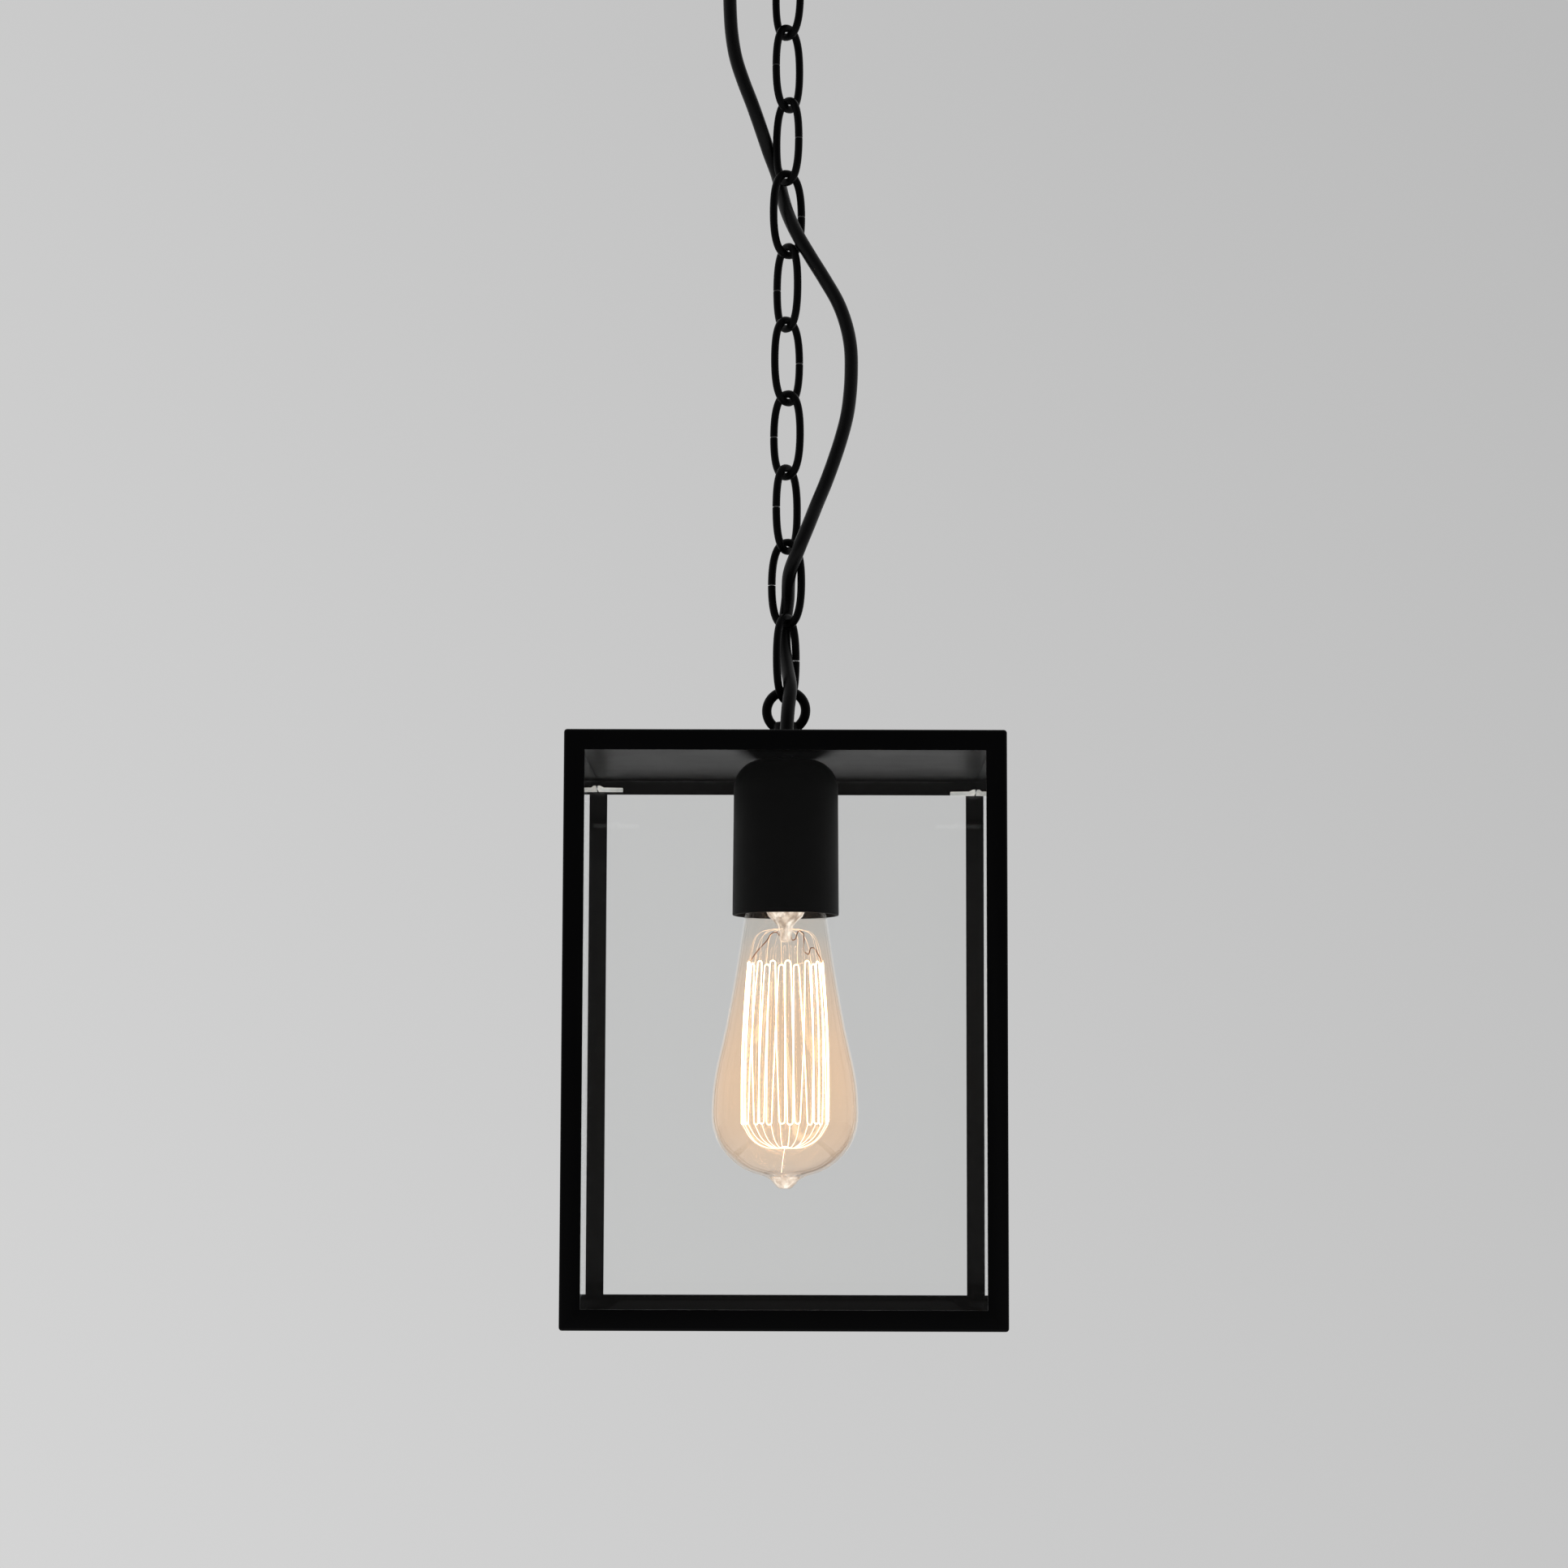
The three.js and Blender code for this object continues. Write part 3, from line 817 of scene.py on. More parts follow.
def pick_edges(piece: bpy.types.Object, wanted: Callable[[Vector, Vector], bool]) -> None:
    """Opens a piece in edit mode with some edges selected.

    Args:
        piece: the piece.
        wanted: says from an edge's two ends whether it is selected.
    """
    hold(piece)
    bpy.ops.object.mode_set(mode="EDIT")
    bpy.ops.mesh.select_mode(type="EDGE")
    bpy.ops.mesh.select_all(action="DESELECT")
    bpy.ops.object.mode_set(mode="OBJECT")
    corners = piece.data.vertices
    for edge in piece.data.edges:
        edge.select = wanted(corners[edge.vertices[0]].co, corners[edge.vertices[1]].co)
    bpy.ops.object.mode_set(mode="EDIT")


def put_down() -> None:
    """Leaves edit mode."""
    bpy.ops.object.mode_set(mode="OBJECT")


def block(name: str, low: Vector, high: Vector) -> bpy.types.Object:
    """Starts a piece as a box.

    Args:
        name: the piece's name.
        low: its lowest corner.
        high: its highest corner.

    Returns:
        The box, with its place in its mesh.
    """
    clear_hands()
    bpy.ops.mesh.primitive_cube_add(size=1, location=(low + high) / 2)
    piece = label(name)
    piece.scale = high - low
    return settle(piece)


def turned(
    name: str,
    outline: Outline,
    steps: int = 72,
    centre: tuple[float, float] = (0.0, 0.0),
) -> bpy.types.Object:
    """Turns an outline about an upright axis, as on a lathe.

    Args:
        name: the piece's name.
        outline: (radius, height) points. It begins and ends on the axis, or closes on itself.
        steps: faces round the axis.
        centre: the axis's X and Y.

    Returns:
        The closed piece.
    """
    clear_hands()
    bpy.ops.mesh.primitive_plane_add(size=MM)
    piece = label(name)
    bpy.ops.object.mode_set(mode="EDIT")
    bpy.ops.mesh.select_mode(type="VERT")
    bpy.ops.mesh.select_all(action="SELECT")
    bpy.ops.mesh.merge(type="CENTER")
    places = [Vector((centre[0] + radius, centre[1], height)) for radius, height in outline]
    bpy.ops.transform.translate(value=places[0])
    for here, there in zip(places, places[1:]):
        bpy.ops.mesh.extrude_region_move(TRANSFORM_OT_translate={"value": there - here})
    bpy.ops.mesh.select_all(action="SELECT")
    bpy.ops.mesh.spin(steps=steps, angle=FULL_TURN, center=(*centre, 0), axis=(0, 0, 1))
    put_down()
    return smooth(tidy_mesh(piece))


def arc(
    centre: tuple[float, float],
    radii: tuple[float, float],
    start: float,
    end: float,
    steps: int = 8,
) -> Outline:
    """Points along an elliptical arc of an outline.

    Args:
        centre: the arc's centre.
        radii: its two half-widths.
        start: its first angle, in degrees.
        end: its last angle, in degrees.
        steps: straight steps along it.

    Returns:
        The points, both ends included.
    """
    angles = [math.radians(start + (end - start) * i / steps) for i in range(steps + 1)]
    return [(centre[0] + radii[0] * math.cos(a), centre[1] + radii[1] * math.sin(a)) for a in angles]


def wires(
    name: str,
    runs: Sequence[Sequence[Point]],
    radius: float,
    roundness: int = 2,
    steps: int = 5,
) -> bpy.types.Object:
    """Bends round wires through points.

    Args:
        name: the piece's name.
        runs: the points of each wire.
        radius: the wire's radius in metres.
        roundness: how finely its section is rounded.
        steps: steps between two points, or 1 where the points are already close together.

    Returns:
        One mesh that holds every wire.
    """
    clear_hands()
    bpy.ops.curve.primitive_bezier_curve_add()
    piece = label(name)
    curve = piece.data
    curve.dimensions = "3D"
    curve.splines.clear()
    for run in runs:
        spline = curve.splines.new("BEZIER")
        spline.bezier_points.add(len(run) - 1)
        for point, where in zip(spline.bezier_points, run):
            point.co = where
            point.handle_left_type = "VECTOR" if steps == 1 else "AUTO"
            point.handle_right_type = point.handle_left_type
    curve.resolution_u = steps
    curve.bevel_depth = radius
    curve.bevel_resolution = roundness
    curve.use_fill_caps = True
    hold(piece)
    bpy.ops.object.convert(target="MESH")
    return smooth(tidy_mesh(piece, 1e-7), 50)


def turn_about(piece: bpy.types.Object, degrees: float, centre: Vector) -> bpy.types.Object:
    """Turns a piece about an upright axis.

    Args:
        piece: the piece, with its place in its mesh.
        degrees: the turn, anticlockwise from above.
        centre: a point on the axis.

    Returns:
        The same piece.
    """
    turn = Matrix.Rotation(math.radians(degrees), 4, "Z")
    piece.matrix_world = Matrix.Translation(centre) @ turn @ Matrix.Translation(-centre)
    bpy.context.view_layer.update()
    return settle(piece)


def extent(node: str) -> tuple[Vector, Vector, Vector]:
    """A CAD node's lowest corner, highest corner and middle."""
    low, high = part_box(node)
    return low, high, (low + high) / 2


def place(piece: bpy.types.Object, finish: Finish, body: str, *nodes: str) -> bpy.types.Object:
    """Finishes a piece, seats it on its body and hides the CAD nodes that it stands for.

    Args:
        piece: the piece.
        finish: its finish.
        body: the body that it moves with.
        nodes: the CAD nodes that it stands for.

    Returns:
        The same piece.
    """
    finish.on(piece)
    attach(piece, body)
    if nodes:
        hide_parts(*nodes)
    log.info("%s: %d faces on %s", piece.name, len(piece.data.polygons), body)
    return piece


# ---------------------------------------------------------------------------------------------------------
# Camera, light and room
# ---------------------------------------------------------------------------------------------------------


@dataclass(frozen=True)
class Studio:
    """The camera, the soft lights and the plain pale room."""

    eye: Point = (0.0046, -1.5603, -0.5761)
    lens_mm: float = 83.74
    pitch_deg: float = 6.05
    yaw_deg: float = 0.2
    roll_deg: float = 0.16
    floor: float = -2.5
    floor_radius: float = 14.0
    backdrop: Colour = (0.595, 0.595, 0.595)
    near_light: float = 0.07
    far_light: float = 0.75
    fade_reach: float = 0.3
    fade_across: float = 0.12
    fade_upwards: float = 0.085

    def camera(self) -> None:
        """Sets up the camera, at the height of the lantern's lower part and looking slightly up."""
        bpy.ops.object.camera_add(location=self.eye)
        camera = bpy.context.object
        camera.data.sensor_width = 36
        camera.data.lens = self.lens_mm
        turn = (
            Matrix.Rotation(math.radians(self.yaw_deg), 3, "Z")
            @ Matrix.Rotation(math.radians(90 + self.pitch_deg), 3, "X")
            @ Matrix.Rotation(math.radians(self.roll_deg), 3, "Z")
        )
        camera.rotation_euler = turn.to_euler()
        bpy.context.scene.camera = camera

    def ground(self) -> None:
        """Lays a wide pale round floor."""
        clear_hands()
        bpy.ops.mesh.primitive_circle_add(
            vertices=96, radius=self.floor_radius, fill_type="NGON", location=(0, 0, self.floor)
        )
        sheet = settle(label("floor"))
        pick_faces(sheet, lambda face: True)
        bpy.ops.mesh.inset(thickness=0.5)
        put_down()
        sheet.data.materials.append(StudioPaint().material())

    def surroundings(self) -> None:
        """Sets the pale backdrop, with a painted light falloff that leaves it brighter towards the lower left
        and darker towards the upper right, and soft light that comes mostly from the lantern's far side.
        """
        world = bpy.data.worlds.new("studio")
        bpy.context.scene.world = world
        world.use_nodes = True
        nodes, links = world.node_tree.nodes, world.node_tree.links
        lit = nodes["Background"]
        lit.inputs["Color"].default_value = (1, 1, 1, 1)
        seen = nodes.new("ShaderNodeBackground")
        seen.inputs["Color"].default_value = (*self.backdrop, 1)
        direction = nodes.new("ShaderNodeTexCoord")
        split = nodes.new("ShaderNodeSeparateXYZ")
        spread = nodes.new("ShaderNodeMapRange")
        spread.inputs["From Min"].default_value = -1
        spread.inputs["To Min"].default_value = self.near_light
        spread.inputs["To Max"].default_value = self.far_light
        rays = nodes.new("ShaderNodeLightPath")
        choose = nodes.new("ShaderNodeMixShader")
        links.new(direction.outputs["Generated"], split.inputs[0])
        across = nodes.new("ShaderNodeMapRange")
        upwards = nodes.new("ShaderNodeMapRange")
        total = nodes.new("ShaderNodeMath")
        # Painted light: the camera sees the backdrop brighter towards the lower left and darker towards the
        # upper right, as a painted falloff of the room's light.
        for slope, axis, fall in ((across, "X", self.fade_across), (upwards, "Z", self.fade_upwards)):
            slope.inputs["From Min"].default_value = -self.fade_reach
            slope.inputs["From Max"].default_value = self.fade_reach
            slope.inputs["To Min"].default_value = 0.5 + fall
            slope.inputs["To Max"].default_value = 0.5 - fall
            links.new(split.outputs[axis], slope.inputs["Value"])
        links.new(across.outputs[0], total.inputs[0])
        links.new(upwards.outputs[0], total.inputs[1])
        links.new(total.outputs[0], seen.inputs["Strength"])
        links.new(split.outputs["Y"], spread.inputs["Value"])
        links.new(spread.outputs[0], lit.inputs["Strength"])
        links.new(rays.outputs["Is Camera Ray"], choose.inputs[0])
        links.new(lit.outputs[0], choose.inputs[1])
        links.new(seen.outputs[0], choose.inputs[2])
        links.new(choose.outputs[0], nodes["World Output"].inputs["Surface"])

    def lights(self) -> None:
        """Hangs large soft lights at the sides and behind."""
        self.lamp_panel("key", (-2.2, -0.6, 0.7), 2.0, 24)
        self.lamp_panel("fill", (2.4, -0.2, -0.3), 2.0, 16)
        self.lamp_panel("back", (-0.6, 2.6, 0.9), 1.8, 22)

    def lamp_panel(self, name: str, where: Point, size: float, watts: float) -> None:
        """Hangs one square soft light that faces the lantern.

        Args:
            name: the light's name.
            where: its place.
            size: its side in metres.
            watts: its power.
        """
        aim = Vector((0, 0, -0.45)) - Vector(where)
        turn = aim.to_track_quat("-Z", "Y").to_euler()
        bpy.ops.object.light_add(type="AREA", location=where, rotation=turn)
        light = bpy.context.object
        light.name = name
        light.data.size = size
        light.data.energy = watts
        light.visible_glossy = False


# ---------------------------------------------------------------------------------------------------------
# Mains cable
# ---------------------------------------------------------------------------------------------------------


@dataclass
class MainsCable:
    """The round mains cable that is threaded down the chain, and the grips where it enters sheet metal.

    It is made in lengths, one for each turning point of the chain.
    Each length reaches a short way, slightly thinner, inside its neighbours.
    """

    radius: float = 2.95 * MM
    sides: int = 20
    step: float = 2 * MM
    spigot: float = 2.6 * MM
    spigot_share: float = 0.93
    ceiling: float = 640 * MM
    points_mm: tuple[Point, ...] = (
        (-25.7, 0, 623.5), (-25.7, 0, 606), (-25.7, 0, 590), (-25.7, 0, 580), (-25.4, 0, 570),
        (-24.6, 0.3, 560), (-22.8, 1, 550), (-19.5, 1.9, 540), (-15.6, 2.9, 530), (-11.9, 5.4, 520),
        (-8.2, 9.4, 510), (-4.5, 9.8, 500), (-2.4, 5.7, 490), (0.1, -0.1, 480), (4.2, -4.2, 470),
        (9.9, -4.8, 460), (16.2, -3.8, 450), (22, -2.8, 440), (25.7, -2.3, 430), (27.6, -2, 420),
        (27.9, -2, 410), (27.4, -2.2, 400), (26.1, -2.6, 390), (23.6, -2.9, 380), (20.4, -2.6, 370),
        (16.8, -2.9, 360), (12.9, -5.4, 350), (9.2, -8.8, 340), (5.2, -9.5, 330), (1.3, -4.7, 320),
        (0.6, 3.7, 310), (-0.7, 7.5, 300), (-1, 6.5, 290), (0.3, 1.1, 280), (1.7, -6.7, 270),
        (0.8, -10.4, 260), (0.2, -11, 250), (0, -11, 243), (0, -11, 234),
    )

    def route(self) -> list[Vector]:
        """The cable's centreline from the canopy down, in even short steps."""
        marks = [Vector(p) * MM - Vector((0, 0, self.ceiling)) for p in self.points_mm]
        fine = [marks[0]]
        ends = [2 * marks[0] - marks[1], *marks, 2 * marks[-1] - marks[-2]]
        for before, here, there, after in zip(ends, ends[1:], ends[2:], ends[3:]):
            count = max(1, round((there - here).length / self.step))
            for i in range(1, count + 1):
                t = i / count
                fine.append(
                    0.5
                    * (
                        2 * here
                        + (there - before) * t
                        + (2 * before - 5 * here + 4 * there - after) * t**2
                        + (3 * here - before - 3 * there + after) * t**3
                    )
                )
        return fine

    def rings(self, line: Sequence[Vector]) -> list[tuple[Vector, Vector, Vector]]:
        """Two cross directions for each point of the line, carried along it without twist.

        Args:
            line: the centreline.

        Returns:
            (point, first cross direction, second cross direction) for each point.
        """
        across = Vector((1, 0, 0))
        made = []
        for i, point in enumerate(line):
            along = (line[min(i + 1, len(line) - 1)] - line[max(i - 1, 0)]).normalized()
            across = (across - along * across.dot(along)).normalized()
            made.append((point, across, along.cross(across)))
        return made

    def length(
        self,
        name: str,
        rings: Sequence[tuple[Vector, Vector, Vector]],
        first: int,
        last: int,
    ) -> bpy.types.Object:
        """Makes one length of the cable, with a spigot at each end.

        Args:
            name: the piece's name.
            rings: the whole cable's points and cross directions.
            first: its first ring.
            last: its last ring.

        Returns:
            The closed tube.
        """
        extra = math.ceil(self.spigot / self.step)
        low, high = max(first - extra, 0), min(last + extra, len(rings) - 1)
        plan = [(i, self.spigot_share) for i in range(low, first + 1) if low < first]
        plan += [(i, 1.0) for i in range(first, last + 1)]
        plan += [(i, self.spigot_share) for i in range(last, high + 1) if high > last]
        corners, faces = [], []
        for i, share in plan:
            point, across, up = rings[i]
            for k in range(self.sides):
                angle = FULL_TURN * k / self.sides
                reach = self.radius * share
                corners.append(point + across * (reach * math.cos(angle)) + up * (reach * math.sin(angle)))
        for row in range(len(plan) - 1):
            for k in range(self.sides):
                a, b = row * self.sides + k, row * self.sides + (k + 1) % self.sides
                faces.append((a, b, b + self.sides, a + self.sides))
        faces.append(tuple(range(self.sides)))
        faces.append(tuple(range((len(plan) - 1) * self.sides, len(plan) * self.sides)))
        mesh = bpy.data.meshes.new(name)
        mesh.from_pydata(corners, [], faces)
        piece = bpy.data.objects.new(name, mesh)
        bpy.context.scene.collection.objects.link(piece)
        return smooth(tidy_mesh(piece))

    def build(self) -> None:
        line = self.route()
        rings = self.rings(line)
        middles = [extent(f"chain_link_{n:02d}")[2].z for n in range(10, 0, -1)]
        joins = [min(range(len(line)), key=lambda i, z=z: abs(line[i].z - z)) for z in middles]
        stops = [0, *joins, len(line) - 1]
        for i, (first, last) in enumerate(zip(stops, stops[1:])):
            name = f"cable_length_{i + 1:02d}"
            piece = self.length(name, rings, first, last)
            SHEATH.on(piece)
            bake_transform(piece)
            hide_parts("mains_cable")
            extra = math.ceil(self.spigot / self.step)
            path = line[max(first - extra, 0) : last + extra + 1]
            real = sum((b - a).length for a, b in zip(path, path[1:]))
            log.info("%s: %.1f mm", name, real / MM)

    def grips(self) -> None:
        """Makes the moulded grips at the canopy and at the lantern's top plate."""
        self.grip("cable_grip_canopy", "canopy_cord_grip", Body.CEILING, downwards=True)
        self.grip("cable_grip_lantern", "lantern_cord_grip", Body.LANTERN, downwards=False)

    def grip(self, name: str, node: str, body: Body, downwards: bool) -> None:
        """Makes one tapered grip with stepped ribs.

        Args:
            name: the piece's name.
            node: the CAD node that it stands for.
            body: the body that it moves with.
            downwards: whether its flange end points down.
        """
        low, high, middle = extent(node)
        bore = self.radius + 0.25 * MM
        widest = (high.x - low.x) / 2
        barrel = 3.9 * MM
        flange = 9.0 * MM
        way = -1 if downwards else 1
        tip = low.z if downwards else high.z
        seat = tip - way * flange
        back = high.z if downwards else low.z
        rib = flange / 6
        outline = [(bore, back), (barrel, back), (barrel, seat), (widest - 0.4 * MM, seat)]
        outline += [(widest, seat + way * 0.4 * MM), (widest, seat + way * 1.6 * MM)]
        for i in range(1, 5):
            reach = widest - (widest - bore - 0.7 * MM) * i / 5
            outline += [(reach + 0.3 * MM, seat + way * (i * rib + 0.5 * MM))]
            outline += [(reach, seat + way * (i * rib + 0.9 * MM)), (reach, seat + way * ((i + 1) * rib))]
        outline += [(bore + 0.3 * MM, tip), (bore, tip - way * 0.2 * MM), (bore, back)]
        piece = turned(name, outline, 48, (middle.x, middle.y))
        place(piece, HOLDER_PLASTIC, body.value, node)


# ---------------------------------------------------------------------------------------------------------
# Chain
# ---------------------------------------------------------------------------------------------------------


@dataclass
class Chain:
    """Ten open wire links, each bent to a rounded oval and butted at mid height on one side."""

    wire: float = 3.4 * MM
    width: float = 18.5 * MM
    split: float = 0.5 * MM
    fullness: float = 0.664
    turns: tuple[float, ...] = (57, -32, 53.5, -41, 45, -53.5, 36.5, -50, 47.5, -45)
    split_sides: tuple[int, ...] = (1, -1, -1, -1, 1, -1, 1, 1, -1, 1)

    def link(self, number: int) -> bpy.types.Object:
        """Bends one link.

        Args:
            number: 1 for the lowest link.

        Returns:
            The link, in its place.
        """
        low, high, middle = extent(f"chain_link_{number:02d}")
        half_width = (self.width - self.wire) / 2
        half_height = (high.z - low.z - self.wire) / 2
        clear_hands()
        bpy.ops.curve.primitive_bezier_circle_add(radius=1)
        piece = label(f"link_{number:02d}_wire")
        curve = piece.data
        curve.dimensions = "3D"
        pull = Vector((half_width * self.fullness, half_height * self.fullness))
        stations = [(1, 0, 0, 1), (0, 1, -1, 0), (-1, 0, 0, -1), (0, -1, 1, 0)]
        for point, (x, z, along_x, along_z) in zip(curve.splines[0].bezier_points, stations):
            handle = Vector((along_x * pull.x, 0, along_z * pull.y))
            point.handle_left_type = "FREE"
            point.handle_right_type = "FREE"
            point.co = Vector((x * half_width, 0, z * half_height))
            point.handle_left = point.co - handle
            point.handle_right = point.co + handle
        curve.resolution_u = 20
        curve.bevel_depth = self.wire / 2
        curve.bevel_resolution = 4
        hold(piece)
        bpy.ops.object.convert(target="MESH")
        tidy_mesh(piece)
        self.open_joint(piece, self.split_sides[number - 1])
        piece.rotation_euler = (0, 0, math.radians(self.turns[number - 1]))
        piece.location = middle
        settle(piece)
        return smooth(piece, 40)

    def open_joint(self, piece: bpy.types.Object, side: int) -> None:
        """Cuts the narrow gap where the wire's two ends butt.

        Args:
            piece: the link, upright at the origin.
            side: 1 for the +X side, -1 for the -X side.
        """
        half = self.split / 2
        for height in (half, -half):
            pick_faces(piece, lambda face: face.center.x * side > 0)
            bpy.ops.mesh.bisect(plane_co=(0, 0, height), plane_no=(0, 0, 1))
            put_down()
        pick_faces(piece, lambda face: face.center.x * side > 0 and abs(face.center.z) < half)
        bpy.ops.mesh.delete(type="FACE")
        bpy.ops.mesh.select_mode(type="EDGE")
        bpy.ops.mesh.select_all(action="DESELECT")
        bpy.ops.mesh.select_non_manifold(extend=False)
        bpy.ops.mesh.fill_holes(sides=0)
        put_down()
        tidy_mesh(piece)

    def build(self) -> None:
        """Makes every link and lets it ride on its own body."""
        for number in range(1, len(self.turns) + 1):
            place(self.link(number), POWDER_COAT, f"link_{number:02d}", f"chain_link_{number:02d}")


# ---------------------------------------------------------------------------------------------------------
# Hanging loops and nuts
# ---------------------------------------------------------------------------------------------------------


@dataclass
class HangingLoops:
    """The two ring bolts that hold the chain's ends, and their nuts."""

    ring_radius: float = 8.5 * MM
    ring_wire: float = 2.1 * MM
    collar: float = 5.6 * MM
    stem: float = 4.9 * MM
    thread_pitch: float = 1.0 * MM
    ceiling_turn: float = 45.0
    lantern_turn: float = -10.0

    def loop(self, name: str, node: str, body: Body, turn: float, upright: bool) -> None:
        """Makes one ring on a collar and a threaded stem.

        Args:
            name: the piece's name.
            node: the CAD node that it stands for.
            body: the body that it moves with.
            turn: the ring's turn about its stem, in degrees.
            upright: whether the ring is above its stem.
        """
        low, high, _ = extent(node)
        way = 1 if upright else -1
        end = high.z if upright else low.z
        root = low.z if upright else high.z
        centre = end - way * (self.ring_radius + self.ring_wire)
        seat = extent("top_plate")[1].z if upright else extent("canopy")[0].z
        seat += way * 0.3 * MM
        neck = centre - way * (self.ring_radius - self.ring_wire - 1.4 * MM)
        outline = [(0, root), (self.stem - 0.7 * MM, root)]
        threads = int(abs(seat - root) / self.thread_pitch) - 1
        for i in range(threads):
            at = root + way * (i + 0.6) * self.thread_pitch
            outline += [(self.stem, at), (self.stem - 0.45 * MM, at + way * self.thread_pitch / 2)]
        outline += [(self.stem - 0.3 * MM, seat), (self.collar - 0.3 * MM, seat)]
        outline += [(self.collar, seat + way * 0.3 * MM), (self.collar, neck - way * 1.2 * MM)]
        outline += [
            (self.collar - 0.35 * MM, neck - way * 0.35 * MM),
            (self.collar - 1.2 * MM, neck),
            (0, neck),
        ]
        body_piece = turned(name, outline, 56)
        clear_hands()
        bpy.ops.mesh.primitive_torus_add(
            location=(0, 0, centre),
            rotation=(math.pi / 2, 0, math.radians(turn)),
            major_radius=self.ring_radius,
            minor_radius=self.ring_wire,
            major_segments=72,
            minor_segments=20,
        )
        ring = settle(label(f"{name}_ring"))
        piece = combine(body_piece, ring, "UNION")
        smooth(piece, 35)
        place(piece, POWDER_COAT, body.value, node)

    def nut(self, name: str, node: str, body: Body) -> None:
        """Makes a hexagonal nut with chamfered faces.

        Args:
            name: the piece's name.
            node: the CAD node that it stands for.
            body: the body that it moves with.
        """
        low, high, middle = extent(node)
        clear_hands()
        bpy.ops.mesh.primitive_cylinder_add(
            vertices=6,
            radius=(high.x - low.x) / 2,
            depth=high.z - low.z,
            location=middle,
            rotation=(0, 0, math.radians(30)),
        )
        piece = settle(label(name))
        if abs(widths(piece).x - (high.x - low.x)) > 0.5 * MM:
            turn_about(piece, 30, middle)
        soften(piece, 0.5 * MM, 3, 50)
        bpy.ops.mesh.primitive_cylinder_add(
            vertices=40, radius=self.stem + 0.2 * MM, depth=20 * MM, location=middle
        )
        combine(piece, settle(label(f"{name}_bore")), "DIFFERENCE")
        smooth(piece)
        place(piece, ZINC, body.value, node)

    def build(self) -> None:
        """Makes both loops and their nuts."""
        self.loop("lantern_ring_bolt", "lantern_loop", Body.LANTERN, self.lantern_turn, True)
        self.loop("ceiling_ring_bolt", "ceiling_loop", Body.CEILING, self.ceiling_turn, False)
        self.nut("lantern_lock_nut", "loop_lock_nut", Body.LANTERN)
        self.nut("ceiling_lock_nut", "ceiling_loop_nut", Body.CEILING)


def widths(piece: bpy.types.Object) -> Vector:
    """A piece's widths along X, Y and Z."""
    places = [corner.co for corner in piece.data.vertices]
    return Vector([max(p[i] for p in places) - min(p[i] for p in places) for i in range(3)])


# ---------------------------------------------------------------------------------------------------------
# Lantern box
# ---------------------------------------------------------------------------------------------------------


